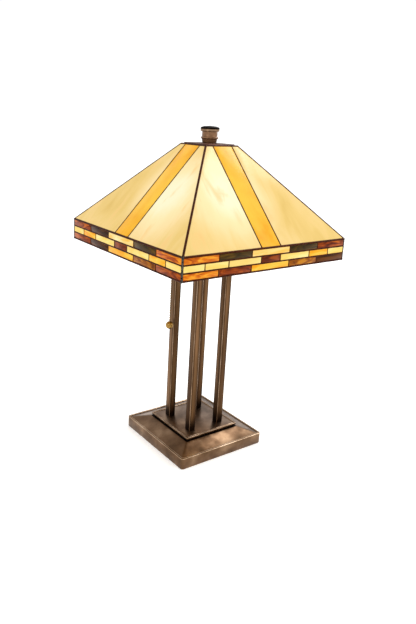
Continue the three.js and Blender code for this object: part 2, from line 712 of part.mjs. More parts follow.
// The cap's edge carries on the roof's slope, over the top ribs.
function shadeCap() {
  const plate = squared([
    [0, capBottom],
    [half(CAP_SIDE), capBottom],
    [half(CAP_SIDE), capShoulder],
    [half(CAP_SIDE) + (capEdgeTop - capShoulder) * roofSlope, capShoulder],
    [half(CAP_SIDE), capEdgeTop],
    [CLUSTER_BOSS, capTop],
    [0, capTop],
  ]);
  const hollow = squared([
    [0, capBottom - PAST],
    [half(CAP_SIDE) - CAP_SHEET, capBottom - PAST],
    [half(CAP_SIDE) - CAP_SHEET, capCeiling],
    [0, capCeiling],
  ]);
  return cut(plate, [hollow, rod(PIPE_RADIUS + SLIP, capBottom, capTop + PAST)]);
}

function shadeWasher() {
  const shape = circle(THREE.Shape, WASHER_RADIUS);
  shape.holes.push(circle(THREE.Path, PIPE_RADIUS + SLIP));
  return extruded(shape, washerTop - WASHER_THICK, WASHER_THICK, 10);
}

group.add(piece('shade_washer', shadeWasher(), STEEL));
group.add(piece('shade_cap', shadeCap(), BRONZE));
group.add(piece('solder_lattice', solderLattice(), SOLDER));

sides.forEach((side, i) => {
  const around = new THREE.Group();
  around.rotation.z = i * Math.PI / 2;
  const roof = new THREE.Group();
  roof.position.set(0, -eaveHalf, eave);
  roof.rotation.x = roofPitch;
  roof.add(piece(`pane_${side}_left`, leftPane(), CREAM_GLASS));
  roof.add(piece(`pane_${side}_strip`, stripPane(), AMBER_GLASS));
  roof.add(piece(`pane_${side}_right`, rightPane(), CREAM_GLASS));
  const apron = new THREE.Group();
  apron.position.set(0, -eaveHalf, eave);
  apron.rotation.x = Math.PI / 2;
  ['upper', 'middle', 'lower'].forEach((level, row) => {
    apron.add(piece(`apron_${side}_${level}`, apronRow(row), row === 1 ? YELLOW_GLASS : BROWN_GLASS));
  });
  around.add(roof, apron);
  group.add(around);
});

// ---------------------------------------------------------------- finial

function finial() {
  const beadRoot = FINIAL_BEAD_THICK / 2;
  const headTopEdge = FINIAL_NECK_LENGTH + FINIAL_HEAD_THICK;
  const outline = [
    [0, 0],
    [FINIAL_FOOT_RADIUS, 0],
    [FINIAL_NECK_RADIUS - EDGE, FINIAL_FLARE],
    [FINIAL_NECK_RADIUS, FINIAL_BEAD_HEIGHT - beadRoot],
    [FINIAL_BEAD_RADIUS - EDGE, FINIAL_BEAD_HEIGHT - beadRoot / 2],
    [FINIAL_BEAD_RADIUS, FINIAL_BEAD_HEIGHT],
    [FINIAL_BEAD_RADIUS - EDGE, FINIAL_BEAD_HEIGHT + beadRoot / 2],
    [FINIAL_NECK_RADIUS, FINIAL_BEAD_HEIGHT + beadRoot],
    [FINIAL_NECK_RADIUS, FINIAL_NECK_LENGTH],
    [FINIAL_HEAD_RADIUS - EDGE, FINIAL_NECK_LENGTH + EDGE],
    [FINIAL_HEAD_RADIUS, FINIAL_NECK_LENGTH + 2 * EDGE],
    [FINIAL_HEAD_RADIUS, headTopEdge - EDGE],
    [FINIAL_HEAD_RADIUS - EDGE, headTopEdge],
    [0, headTopEdge + FINIAL_CROWN],
  ];
  const body = turned(outline, 32);
  const bore = rod(PIPE_RADIUS + SLIP, -PAST, FINIAL_BORE_DEPTH);
  return cut(body, [bore]).translate(0, 0, finialBottom);
}

group.add(piece('finial', finial(), BRONZE));

export default group;
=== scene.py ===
"""Square mission-style table lamp with a stained glass shade: its finished surfaces and its studio.

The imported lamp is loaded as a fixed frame. Each operator makes one piece, or a group of like
pieces, around the frame, and the panel in the 3D view's sidebar lists them. Metres, +Z up.
"""

import json
import math
import random

import bmesh
import bpy
from mathutils import Matrix, Vector

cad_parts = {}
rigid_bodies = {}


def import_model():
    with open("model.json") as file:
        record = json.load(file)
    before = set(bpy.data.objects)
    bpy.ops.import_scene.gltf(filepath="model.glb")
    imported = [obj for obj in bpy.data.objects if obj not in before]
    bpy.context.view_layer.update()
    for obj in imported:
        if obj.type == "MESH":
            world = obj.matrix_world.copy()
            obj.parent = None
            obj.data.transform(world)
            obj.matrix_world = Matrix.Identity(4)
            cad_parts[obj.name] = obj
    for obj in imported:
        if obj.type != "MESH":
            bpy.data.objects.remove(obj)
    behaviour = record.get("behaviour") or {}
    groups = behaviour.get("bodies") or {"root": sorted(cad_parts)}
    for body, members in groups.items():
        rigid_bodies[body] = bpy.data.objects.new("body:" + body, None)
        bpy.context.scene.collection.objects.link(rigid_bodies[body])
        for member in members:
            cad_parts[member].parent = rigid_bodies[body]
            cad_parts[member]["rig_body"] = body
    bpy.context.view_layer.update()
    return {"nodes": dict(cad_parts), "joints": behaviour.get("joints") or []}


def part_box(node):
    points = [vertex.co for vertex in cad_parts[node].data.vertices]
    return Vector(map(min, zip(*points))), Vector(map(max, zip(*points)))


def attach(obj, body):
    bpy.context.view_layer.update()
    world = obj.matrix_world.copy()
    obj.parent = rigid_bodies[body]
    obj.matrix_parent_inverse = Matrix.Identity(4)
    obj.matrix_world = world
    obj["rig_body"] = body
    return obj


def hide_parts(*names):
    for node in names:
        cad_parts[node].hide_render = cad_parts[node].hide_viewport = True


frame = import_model()

bl_info = {
    "name": "Mission table lamp",
    "version": (1, 0, 0),
    "blender": (4, 5, 0),
    "location": "View3D > Sidebar > Lamp",
    "description": "Makes the finished pieces of a stained glass table lamp and its studio",
    "category": "Object",
}

MM = 0.001
SIDES = ("front", "right", "back", "left")
CORNERS = ("front_left", "front_right", "back_right", "back_left")
LEVELS = ("upper", "middle", "lower")


# ------------------------------------------------------------------ colours and nodes


def linear(colour):
    """An sRGB hex colour as linear red, green and blue."""
    parts = [int(colour[i : i + 2], 16) / 255 for i in (1, 3, 5)]
    return tuple(p / 12.92 if p <= 0.04045 else ((p + 0.055) / 1.055) ** 2.4 for p in parts)


def opaque(colour):
    return (*linear(colour), 1.0)


def set_stops(bar, stops):
    """Gives a colour ramp its (position, hex colour) stops."""
    bar.elements[0].position, bar.elements[0].color = stops[0][0], opaque(stops[0][1])
    bar.elements[1].position, bar.elements[1].color = stops[-1][0], opaque(stops[-1][1])
    for position, colour in stops[1:-1]:
        bar.elements.new(position).color = opaque(colour)


def add(tree, kind, settings=None, links=None):
    """A node with its settings, by attribute or socket, and the links into its sockets.

    The setting "stops" holds a colour ramp's (position, hex colour) stops.
    """
    made = tree.nodes.new(kind)
    for key, value in (settings or {}).items():
        if key == "stops":
            set_stops(made.color_ramp, value)
        elif isinstance(key, str) and hasattr(made, key):
            setattr(made, key, value)
        else:
            made.inputs[key].default_value = value
    for key, source in (links or {}).items():
        tree.links.new(source, made.inputs[key])
    return made


# Shared settings. A Map Range node's sockets 1 to 4 are the range read and the range given, and
# a Mix node's sockets 0, 6 and 7 are its factor and its two colours.
SMOOTH = {"interpolation_type": "SMOOTHSTEP"}
COLOURS = {"data_type": "RGBA"}


def new_material(name):
    """An empty material, its node tree and the place in the object where its pattern is read."""
    material = bpy.data.materials.new(name)
    material.use_nodes = True
    tree = material.node_tree
    tree.nodes.clear()
    place = add(tree, "ShaderNodeTexCoord")
    return material, tree, place.outputs["Object"]


def close(tree, settings, links):
    """The material's one Principled shader and its output."""
    shader = add(tree, "ShaderNodeBsdfPrincipled", settings, links)
    add(tree, "ShaderNodeOutputMaterial", None, {"Surface": shader.outputs["BSDF"]})


def blotches(tree, place, grain, detail=4.0, stretch=(1, 1, 1), turn=(0, 0, 0), distortion=0.0):
    """A pattern of soft blotches about grain metres across, stretched and turned in place."""
    settings = {"Scale": stretch, "Rotation": turn}
    mapping = add(tree, "ShaderNodeMapping", settings, {"Vector": place})
    settings = {"Scale": 1 / grain, "Detail": detail, "Distortion": distortion}
    made = add(tree, "ShaderNodeTexNoise", settings, {"Vector": mapping.outputs["Vector"]})
    return made.outputs["Fac"]


# ------------------------------------------------------------------ metals


def bronze(
    name, dark, mid, light, roughness, foot=None, grain=(1, 1, 1), spread=None, metallic=1.0,
):
    """Antique bronze, cast or drawn, darkened with patina and hand rubbed.

    Brown metal with mottling 4 to 30 mm across, drawn out along the grain, and fine rubbed
    scratches. Where there is a foot, a (low, high) height, painted shade darkens the metal towards
    the bottom. On tubes standing spread either side of the middle, painted shade also darkens the
    faces' margins beside the corners.
    """
    material, tree, place = new_material(name)
    clouds = blotches(tree, place, 30 * MM, 5.0, stretch=grain)
    flecks = blotches(tree, place, 4 * MM, 6.0, stretch=grain)
    stops = ((0.3, dark), (0.5, mid), (0.7, light))
    colour = add(tree, "ShaderNodeValToRGB", {"stops": stops}, {"Fac": clouds}).outputs["Color"]
    settings = {**SMOOTH, 1: 0.55, 2: 0.75, 4: 0.4}
    specks = add(tree, "ShaderNodeMapRange", settings, {0: flecks}).outputs[0]
    settings = {**COLOURS, 7: opaque(dark)}
    colour = add(tree, "ShaderNodeMix", settings, {0: specks, 6: colour}).outputs[2]
    if spread:
        # How far a point stands from the middle of its tube, both ways, and the lesser of these
        absolute = {"operation": "ABSOLUTE"}
        vector = add(tree, "ShaderNodeVectorMath", absolute, {0: place}).outputs[0]
        settings = {"operation": "SUBTRACT", 1: (spread, spread, 0)}
        vector = add(tree, "ShaderNodeVectorMath", settings, {0: vector}).outputs[0]
        vector = add(tree, "ShaderNodeVectorMath", absolute, {0: vector}).outputs[0]
        parts = add(tree, "ShaderNodeSeparateXYZ", None, {"Vector": vector}).outputs
        links = {0: parts["X"], 1: parts["Y"]}
        aside = add(tree, "ShaderNodeMath", {"operation": "MINIMUM"}, links).outputs[0]
        # Painted shade along the faces' margins, beside the rounded corners
        settings = {**SMOOTH, 1: 2.5 * MM, 2: 5.5 * MM, 4: 0.7}
        margin_shade = add(tree, "ShaderNodeMapRange", settings, {0: aside}).outputs[0]
        settings = {**COLOURS, 7: opaque("#2A1A0E")}
        colour = add(tree, "ShaderNodeMix", settings, {0: margin_shade, 6: colour}).outputs[2]
    # Painted shade darkens the metal towards the foot, where the tube stands on the plate
    if foot:
        height = add(tree, "ShaderNodeSeparateXYZ", None, {"Vector": place}).outputs["Z"]
        settings = {**SMOOTH, 1: foot[0], 2: foot[1], 3: 0.93, 4: 0.0}
        foot_shade = add(tree, "ShaderNodeMapRange", settings, {0: height}).outputs[0]
        settings = {**COLOURS, 7: opaque("#140B06")}
        colour = add(tree, "ShaderNodeMix", settings, {0: foot_shade, 6: colour}).outputs[2]
    # Rubbing scratches, 0.5 mm apart, drawn at 1.5 mm so that they show
    rubbed = blotches(tree, place, 1.5 * MM, 2.0, stretch=(1, 1, 0.15))
    settings = {**SMOOTH, 1: 0.3, 2: 0.7, 3: roughness + 0.08, 4: roughness - 0.05}
    worn = add(tree, "ShaderNodeMapRange", settings, {0: clouds}).outputs[0]
    settings = {"Strength": 0.3, "Distance": 0.1 * MM}
    normal = add(tree, "ShaderNodeBump", settings, {"Height": rubbed}).outputs["Normal"]
    links = {"Base Color": colour, "Roughness": worn, "Normal": normal}
    close(tree, {"Metallic": metallic}, links)
    return material


def plain_metal(name, dark, light, grain, roughness, stretch=(1, 1, 1)):
    """A bare or plated metal with faint tool marks grain metres apart."""
    material, tree, place = new_material(name)
    marks = blotches(tree, place, grain, 3.0, stretch=stretch)
    stops = ((0.35, dark), (0.65, light))
    colour = add(tree, "ShaderNodeValToRGB", {"stops": stops}, {"Fac": marks}).outputs["Color"]
    settings = {**SMOOTH, 1: 0.3, 2: 0.7, 3: roughness - 0.05, 4: roughness + 0.07}
    worn = add(tree, "ShaderNodeMapRange", settings, {0: marks}).outputs[0]
    settings = {"Strength": 0.3, "Distance": 0.05 * MM}
    normal = add(tree, "ShaderNodeBump", settings, {"Height": marks}).outputs["Normal"]
    links = {"Base Color": colour, "Roughness": worn, "Normal": normal}
    close(tree, {"Metallic": 1.0}, links)
    return material


def dull(name, dark, light, grain, roughness, depth):
    """A non-metal that scatters light, such as felt or moulded resin."""
    material, tree, place = new_material(name)
    fibres = blotches(tree, place, grain, 6.0)
    stops = ((0.3, dark), (0.7, light))
    colour = add(tree, "ShaderNodeValToRGB", {"stops": stops}, {"Fac": fibres}).outputs["Color"]
    settings = {"Strength": 0.6, "Distance": depth}
    normal = add(tree, "ShaderNodeBump", settings, {"Height": fibres}).outputs["Normal"]
    close(tree, {"Roughness": roughness, "IOR": 1.5}, {"Base Color": colour, "Normal": normal})
    return material


# ------------------------------------------------------------------ glass


def patches():
    """Where the bulbs light the roof most: beside the two hips that face the gap between them."""
    shade = bpy.context.scene.lamp_shade
    out = EAVE_HALF - (shade.patch_height - EAVE) * ROOF_RUN
    found = []
    for i, hand in enumerate((-1, 1, -1, 1)):
        point = Vector((hand * shade.patch_aside, -out, shade.patch_height))
        found.append(Matrix.Rotation(i * math.pi / 2, 3, "Z") @ point)
    return found


def patch_glow(tree, place):
    """How brightly the bulbs light a point of the roof, from 0 to 1."""
    total = None
    for point in patches():
        settings = {"operation": "DISTANCE", 1: tuple(point)}
        away = add(tree, "ShaderNodeVectorMath", settings, {0: place}).outputs["Value"]
        settings = {**SMOOTH, 1: 5 * MM, 2: 120 * MM, 3: 1.0, 4: 0.0}
        near = add(tree, "ShaderNodeMapRange", settings, {0: away}).outputs[0]
        if total is None:
            total = near
            continue
        links = {0: total, 1: near}
        total = add(tree, "ShaderNodeMath", {"operation": "MAXIMUM"}, links).outputs[0]
    return total


def lit_glass(colour, glow, ripple, tree):
    """The shader of a lit pane: part of its colour is reflected and part is the light inside it."""
    settings = {**COLOURS, "blend_type": "MULTIPLY", 0: 1.0, 7: opaque("#A0A0A0")}
    reflected = add(tree, "ShaderNodeMix", settings, {6: colour}).outputs[2]
    settings = {"Strength": 0.25, "Distance": 0.4 * MM}
    normal = add(tree, "ShaderNodeBump", settings, {"Height": ripple}).outputs["Normal"]
    links = {"Base Color": reflected, "Emission Color": colour, "Normal": normal}
    settings = {"Roughness": 0.22, "IOR": 1.52, "Specular IOR Level": 0.08}
    close(tree, {**settings, "Emission Strength": glow}, links)


def cream_glass():
    """Opalescent sheet glass, hand rolled: milky cream with honey wisps that run down the slope.

    The wisps are 30 to 90 mm long. Near the bulbs it glows almost white.
    """
    material, tree, place = new_material("opalescent_cream_glass_hand_rolled")
    sheet = add(tree, "ShaderNodeUVMap", {"uv_map": "sheet"}).outputs["UV"]
    glow = patch_glow(tree, place)
    settings = {"stretch": (2.4, 0.7, 1), "turn": (0, 0, 0.35), "distortion": 0.8}
    wisps = blotches(tree, sheet, 60 * MM, 4.0, **settings)
    clouds = blotches(tree, sheet, 130 * MM, 2.0)
    # Paler with the light of the bulbs, and by a share of each pattern
    tone = add(tree, "ShaderNodeMath", {"operation": "MULTIPLY", 1: 0.34}, {0: wisps}).outputs[0]
    for part, share in ((clouds, 0.3), (glow, 0.72)):
        settings = {"operation": "MULTIPLY_ADD", 1: share}
        tone = add(tree, "ShaderNodeMath", settings, {0: part, 2: tone}).outputs[0]
    stops = (
        (0.18, "#DDB964"), (0.3, "#EAC878"), (0.44, "#F3D48F"), (0.6, "#F9DFA4"),
        (0.78, "#FBE6AE"), (0.98, "#FDF2CA"),
    )
    colour = add(tree, "ShaderNodeValToRGB", {"stops": stops}, {"Fac": tone}).outputs["Color"]
    settings = {**SMOOTH, 1: 0.54, 2: 0.72, 4: 0.6}
    honey = add(tree, "ShaderNodeMapRange", settings, {0: wisps}).outputs[0]
    settings = {**COLOURS, 7: opaque("#F4C67A")}
    colour = add(tree, "ShaderNodeMix", settings, {0: honey, 6: colour}).outputs[2]
    lit_glass(colour, 0.62, blotches(tree, sheet, 12 * MM, 3.0), tree)
    return material


def amber_glass():
    """Amber opalescent sheet glass, machine rolled: an even warm yellow, painted a little paler
    mid-way, where the bulbs light it most.
    """
    material, tree, place = new_material("opalescent_amber_glass_rolled")
    sheet = add(tree, "ShaderNodeUVMap", {"uv_map": "sheet"}).outputs["UV"]
    mottle = blotches(tree, sheet, 18 * MM, 4.0, stretch=(1, 0.5, 1))
    stops = ((0.3, "#EFA622"), (0.5, "#F5B42E"), (0.72, "#F9C03A"))
    deep = add(tree, "ShaderNodeValToRGB", {"stops": stops}, {"Fac": mottle}).outputs["Color"]
    # Painted light: paler where the bulbs light the glass most
    settings = {**SMOOTH, 1: 0.1, 2: 0.9, 4: 0.5}
    lit = add(tree, "ShaderNodeMapRange", settings, {0: patch_glow(tree, place)}).outputs[0]
    settings = {**COLOURS, 7: opaque("#FAD052")}
    colour = add(tree, "ShaderNodeMix", settings, {0: lit, 6: deep}).outputs[2]
    lit_glass(colour, 0.62, mottle, tree)
    return material


def tile_glass(name, dark, mid, light, glow, streak):
    """Streaky sheet glass cut into small tiles; the streaks lie along the tile, streak apart."""
    material, tree, _ = new_material(name)
    sheet = add(tree, "ShaderNodeUVMap", {"uv_map": "sheet"}).outputs["UV"]
    settings = {"stretch": (0.22, 1.0, 1.0), "turn": (0, 0, 0.12), "distortion": 1.6}
    streaks = blotches(tree, sheet, streak, 5.0, **settings)
    stops = ((0.34, dark), (0.5, mid), (0.66, light))
    colour = add(tree, "ShaderNodeValToRGB", {"stops": stops}, {"Fac": streaks}).outputs["Color"]
    lit_glass(colour, glow, streaks, tree)
    return material


# Streaky and opalescent glass of the apron: darkest, middle and palest colour, glow, streak
TILE_GLASSES = {
    "orange": ("streaky_orange_glass", ("#9C3E04", "#D8700A", "#F6A828"), 0.62, 8 * MM),
    "olive": ("streaky_olive_brown_glass", ("#2E2004", "#4C3608", "#6E4E0A"), 0.5, 14 * MM),
    "cream": ("streaky_cream_glass", ("#F9BE50", "#FBD480", "#FEE6A4"), 0.62, 14 * MM),
    "red": ("streaky_red_brown_glass", ("#561A00", "#8C3803", "#C06010"), 0.62, 9 * MM),
    "yellow": ("opalescent_yellow_glass", ("#F4CC62", "#FBD97A", "#FEE592"), 0.62, 16 * MM),
    "lime": ("opalescent_pale_green_glass", ("#EDCC6C", "#F6D57C", "#F9E294"), 0.62, 16 * MM),
    "amber": ("opalescent_amber_tile_glass", ("#F39A14", "#F9B22A", "#FDCB4E"), 0.62, 14 * MM),
    "dark_red": ("streaky_dark_red_glass", ("#4A1600", "#702A01", "#94420A"), 0.62, 12 * MM),
    "honey": ("streaky_brown_amber_glass", ("#6A3402", "#965207", "#C8821C"), 0.62, 9 * MM),
    "plum": ("streaky_plum_brown_glass", ("#2C1403", "#4A2606", "#6C3A0C"), 0.5, 12 * MM),
}

# Tiles of each row, from a side's left end to its right end
FRONT_ROWS = (
    ("orange", "olive", "cream", "olive", "red"),
    ("yellow", "yellow", "lime", "dark_red", "yellow", "amber", "yellow"),
    ("orange", "red", "amber", "honey", "plum"),
)
LEFT_ROWS = (
    ("red", "plum", "cream", "olive", "orange"),
    ("yellow", "amber", "yellow", "dark_red", "yellow", "amber", "yellow"),
    ("red", "plum", "amber", "honey", "red"),
)
SIDE_ROWS = {"front": FRONT_ROWS, "right": LEFT_ROWS, "back": FRONT_ROWS, "left": LEFT_ROWS}


def bulb_glass():
    """Frosted bulb glass, blown and etched: a lit warm white."""
    material, tree, place = new_material("frosted_bulb_glass_lit")
    frost = blotches(tree, place, 3 * MM, 4.0)
    stops = ((0.3, "#FFE9BC"), (0.7, "#FFF6E0"))
    colour = add(tree, "ShaderNodeValToRGB", {"stops": stops}, {"Fac": frost}).outputs["Color"]
    settings = {"Strength": 0.3, "Distance": 0.05 * MM}
    normal = add(tree, "ShaderNodeBump", settings, {"Height": frost}).outputs["Normal"]
    links = {"Base Color": colour, "Emission Color": colour, "Normal": normal}
    close(tree, {"Roughness": 0.4, "IOR": 1.5, "Emission Strength": 1.1}, links)
    return material


FINISHES = {}


def make_finishes():
    """Every finish of the lamp, by a maker's name for it."""
    base_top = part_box("base_plate")[1].z
    made = {
        "cast": bronze("antique_bronze_cast_rubbed", "#4E3A28", "#684F3A", "#846A52", 0.33),
        # The column finish has painted shade at the foot of each tube and along its faces' margins
        "column": bronze(
            "antique_bronze_square_tube", "#3C2616", "#5C4229", "#7A5A3E", 0.36,
            foot=(base_top + 4 * MM, base_top + 30 * MM), grain=(3.0, 3.0, 0.12),
            spread=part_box("column_back_right")[1].x - 7 * MM,
        ),
        # Rubbed wear with a painted highlight, for the tubes' corners and the finial's head
        "edge": bronze("bronze_tube_corner_rubbed_painted_highlight", "#6A523C", "#8A7058", "#A48A72", 0.3),
        # Rubbed wear on the softened edges, with a painted highlight over it
        "arris": bronze("bronze_arris_rubbed_painted_highlight", "#9A7E62", "#BCA084", "#D8C0A6", 0.28),
        # Near black painted shade for the grooves, under the base plate and on the finial's crown
        "groove": bronze("bronze_groove_painted_shade", "#090502", "#120A05", "#1D120A", 0.7),
        # A thick brown lacquer over the sheet and the finial hides some of the metal
        "cap": bronze(
            "antique_bronze_sheet_cap", "#2C1205", "#4A220A", "#683610", 0.55, metallic=0.3,
        ),
        "finial": bronze(
            "antique_bronze_finial_turned", "#5A3F2A", "#805C3E", "#9C7850", 0.3, metallic=0.6,
        ),
        # Zinc on steel, dulled by heat: mid grey, slightly streaked by the die
        "steel": plain_metal("zinc_plated_steel_threaded", "#5E5E60", "#8E8E90", 4 * MM, 0.38),
        # Sand-cast iron: nearly black, coarse grained
        "iron": plain_metal("grey_iron_sand_cast", "#2A2928", "#47443F", 3 * MM, 0.75),
        # Polished brass: warm gold with a sharp horizon
        "brass": plain_metal("polished_brass_lacquered", "#7A5A2C", "#AA8648", 8 * MM, 0.12),
        # Bead chain rolled from brass strip and left to dull: brown gold
        "dull_brass": plain_metal("bead_chain_brass_dulled", "#5A4222", "#9A7638", 5 * MM, 0.4),
        # Spun brass shell of a socket: a softer shine, with turning marks
        "shell": plain_metal("spun_brass_shell", "#A8823C", "#CDA659", 3 * MM, 0.35, (0.3, 0.3, 3)),
        # Aluminium screw cap of a bulb
        "screw": plain_metal("pressed_aluminium_screw_cap", "#9C9C9A", "#C8C8C6", 3 * MM, 0.35),
        # Copper-foiled solder with a brown patina: dark, soft and slightly uneven
        "solder": plain_metal("foil_solder_brown_patina", "#2E1206", "#4C220E", 5 * MM, 0.55),
        # Solder left bright in beads down the apron's corners: grey and speckled
        "beaded": plain_metal("beaded_solder_grey", "#0E0C0B", "#57534D", 2.2 * MM, 0.5),
        "felt": dull("wool_felt_green_pressed", "#1E3A26", "#34583D", 1 * MM, 0.95, 0.3 * MM),
        "resin": dull("phenolic_resin_moulded_black", "#141211", "#24201D", 2 * MM, 0.4, 0.03 * MM),
        "bulb": bulb_glass(),
        "pane_cream": cream_glass(),
        "pane_amber": amber_glass(),
    }
    for key, (name, colours, glow, streak) in TILE_GLASSES.items():
        made["tile_" + key] = tile_glass(name, *colours, glow, streak)
    FINISHES.update(made)


# ------------------------------------------------------------------ places from the frame

GAP = 0.3 * MM  # between faces that rest on each other
RIB = 2.0 * MM  # radius of the solder beads along folds and rims
KNOT = 2.2 * MM  # radius of the blobs where ribs meet
TUCK = 0.5 * MM  # glass inside the solder that holds it
CROWN = 0.66  # width of a flat line where it leaves the glass, as a share of its full width
STEM_HOLE = 5.3 * MM  # radius of the holes that the centre stem passes through
EAVE_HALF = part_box("solder_lattice")[1].x - KNOT
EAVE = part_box("apron_front_upper")[1].z + RIB + GAP
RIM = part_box("apron_front_lower")[0].z - GAP
CAP_LOW, CAP_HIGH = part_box("shade_cap")
ROOF_TOP = CAP_LOW.z - GAP - RIB / 2
CAP_SHOULDER = ROOF_TOP + KNOT + GAP  # the cap's sloping edge starts here, on the roof's slope
ROOF_RUN = (EAVE_HALF - CAP_HIGH.x) / (ROOF_TOP - EAVE + CAP_SHOULDER - CAP_LOW.z)
ROOF_HALF = EAVE_HALF - (ROOF_TOP - EAVE) * ROOF_RUN
ROOF_PITCH = math.atan2(1, ROOF_RUN)
UPRIGHT = math.pi / 2
ROOF_LENGTH = (ROOF_TOP - EAVE) / math.sin(ROOF_PITCH)
ROW_PITCH = (EAVE - RIM) / 3


def side_turn(side):
    """Turns the front side's place round to another side's."""
    return Matrix.Rotation(SIDES.index(side) * math.pi / 2, 4, "Z")


def side_frame(side, pitch):
    """From a side's plane, x along the eave and y up the plane at pitch, to the lamp."""
    foot = Matrix.Translation((0, -EAVE_HALF, EAVE))
    return side_turn(side) @ foot @ Matrix.Rotation(pitch, 4, "X")


def joint(name):
    return next(j for j in frame["joints"] if j["name"] == name)


def bulb_frame(letter):
    """From a socket's own axis, +Z towards the bulb, to the lamp."""
    found = joint(f"bulb_{letter}_turn")
    turn = Vector(found["axis"]).to_track_quat("Z", "Y").to_matrix().to_4x4()
    return Matrix.Translation(found["pos_m"]) @ turn


# ------------------------------------------------------------------ shape helpers


def new_verts(result):
    return [g for g in result["geom"] if isinstance(g, bmesh.types.BMVert)]


def raised(mesh, loop):
    """Extrudes a closed loop of edges, and gives the new vertices and the new loop.

    Both are in the mesh's own order, so that a body comes out the same on every run.
    """
    verts = new_verts(bmesh.ops.extrude_edge_only(mesh, edges=loop))
    new = set(verts)
    edges = [e for v in verts for e in v.link_edges if e.other_vert(v) in new]
    return verts, list(dict.fromkeys(edges))


def square_body(profile, corner, closed=False):
    """A square body about +Z through (half width, height, finish index) points.

    An open profile is capped at both ends, and a closed one joins its last point to its first.
    """
    mesh = bmesh.new()
    half, height, _ = profile[0]
    bmesh.ops.create_grid(mesh, x_segments=1, y_segments=1, size=half)
    bmesh.ops.translate(mesh, verts=mesh.verts, vec=(0, 0, height))
    settings = {"segments": 4, "profile": 0.5, "material": -1, "affect": "VERTICES"}
    bmesh.ops.bevel(mesh, geom=mesh.verts[:], offset=corner, **settings)
    loop = mesh.edges[:]
    if closed:
        bmesh.ops.delete(mesh, geom=mesh.faces[:], context="FACES_ONLY")
    stations = profile[1:] + [profile[0]] if closed else profile[1:]
    for next_half, next_height, finish in stations:
        verts, loop = raised(mesh, loop)
        for face in {f for v in verts for f in v.link_faces}:
            face.material_index = finish
        bmesh.ops.scale(mesh, verts=verts, vec=(next_half / half, next_half / half, 1))
        bmesh.ops.translate(mesh, verts=verts, vec=(0, 0, next_height - height))
        half, height = next_half, next_height
    if closed:
        bmesh.ops.remove_doubles(mesh, verts=mesh.verts, dist=1e-6)
    else:
        bmesh.ops.edgeloop_fill(mesh, edges=loop)
    bmesh.ops.recalc_face_normals(mesh, faces=mesh.faces)
    return mesh


def round_body(profile, steps, closed=False):
    """A body turned about +Z through (radius, height) points."""
    mesh = bmesh.new()
    verts = [mesh.verts.new((radius, 0, height)) for radius, height in profile]
    edges = [mesh.edges.new(pair) for pair in zip(verts, verts[1:])]
    if closed:
        edges.append(mesh.edges.new((verts[-1], verts[0])))
    settings = {"axis": (0, 0, 1), "cent": (0, 0, 0), "angle": math.tau, "steps": steps}
    bmesh.ops.spin(mesh, geom=verts + edges, use_merge=True, **settings)
    bmesh.ops.remove_doubles(mesh, verts=mesh.verts, dist=1e-6)
    bmesh.ops.dissolve_degenerate(mesh, edges=mesh.edges, dist=1e-7)
    bmesh.ops.recalc_face_normals(mesh, faces=mesh.faces)
    return mesh


def soften(mesh, offset, finish=-1, angle=35):
    """Bevels every edge sharper than angle degrees. The new faces may take their own finish."""
    limit = math.radians(angle)
    sharp = [e for e in mesh.edges if e.is_manifold and e.calc_face_angle() > limit]
    settings = {"segments": 2, "profile": 0.5, "material": -1, "affect": "EDGES"}
    result = bmesh.ops.bevel(mesh, geom=sharp, offset=offset, clamp_overlap=True, **settings)
    if finish >= 0:
        for face in result["faces"]:
            face.material_index = finish
    return mesh


def moved(mesh, matrix):
    bmesh.ops.transform(mesh, matrix=matrix, verts=mesh.verts)
    return mesh


def together(meshes):
    """Several bmeshes as one."""
    whole = bmesh.new()
    for mesh in meshes:
        data = bpy.data.meshes.new("part")
        mesh.to_mesh(data)
        mesh.free()
        whole.from_mesh(data)
        bpy.data.meshes.remove(data)
    return whole


def wobbly_bar(start, end, radius, step, unevenness, draw, sides=10):
    """A round bar of solder between two points, slightly thick and thin along its length."""
    start, end = Vector(start), Vector(end)
    length = (end - start).length
    count = max(1, round(length / step))
    mesh = bmesh.new()
    bmesh.ops.create_circle(mesh, cap_ends=True, segments=sides, radius=radius)
    loop = mesh.edges[:]
    size = 1.0
    for _ in range(count):
        verts, loop = raised(mesh, loop)
        bmesh.ops.translate(mesh, verts=verts, vec=(0, 0, length / count))
        next_size = 1 - draw.random() * unevenness
        bmesh.ops.scale(mesh, verts=verts, vec=(next_size / size, next_size / size, 1))
        size = next_size
    bmesh.ops.edgeloop_fill(mesh, edges=loop)
    bmesh.ops.recalc_face_normals(mesh, faces=mesh.faces)
    turn = (end - start).to_track_quat("Z", "Y").to_matrix().to_4x4()
    return moved(mesh, Matrix.Translation(start) @ turn)


def stand_for(node, mesh, finishes):
    """The finished piece that stands for a CAD node: its mesh, finishes and body."""
    data = bpy.data.meshes.new(node + "_finished")
    mesh.to_mesh(data)
    mesh.free()
    for face in data.polygons:
        face.use_smooth = True
    data.set_sharp_from_angle(angle=math.radians(32))
    for finish in finishes:
        data.materials.append(FINISHES[finish])
    made = bpy.data.objects.new(data.name, data)
    bpy.context.scene.collection.objects.link(made)
    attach(made, frame["nodes"][node]["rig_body"])
    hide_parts(node)
    return made


def hole(made, cutter):
    """Cuts a bmesh out of a finished piece."""
    data = bpy.data.meshes.new("cutter")
    cutter.to_mesh(data)
    cutter.free()
    tool = bpy.data.objects.new("cutter", data)
    bpy.context.scene.collection.objects.link(tool)
    modifier = made.modifiers.new("cut", "BOOLEAN")
    modifier.operation, modifier.object, modifier.solver = "DIFFERENCE", tool, "EXACT"
    graph = bpy.context.evaluated_depsgraph_get()
    result = bpy.data.meshes.new_from_object(made.evaluated_get(graph))
    made.modifiers.clear()
    made.data = result
    bpy.data.objects.remove(tool)


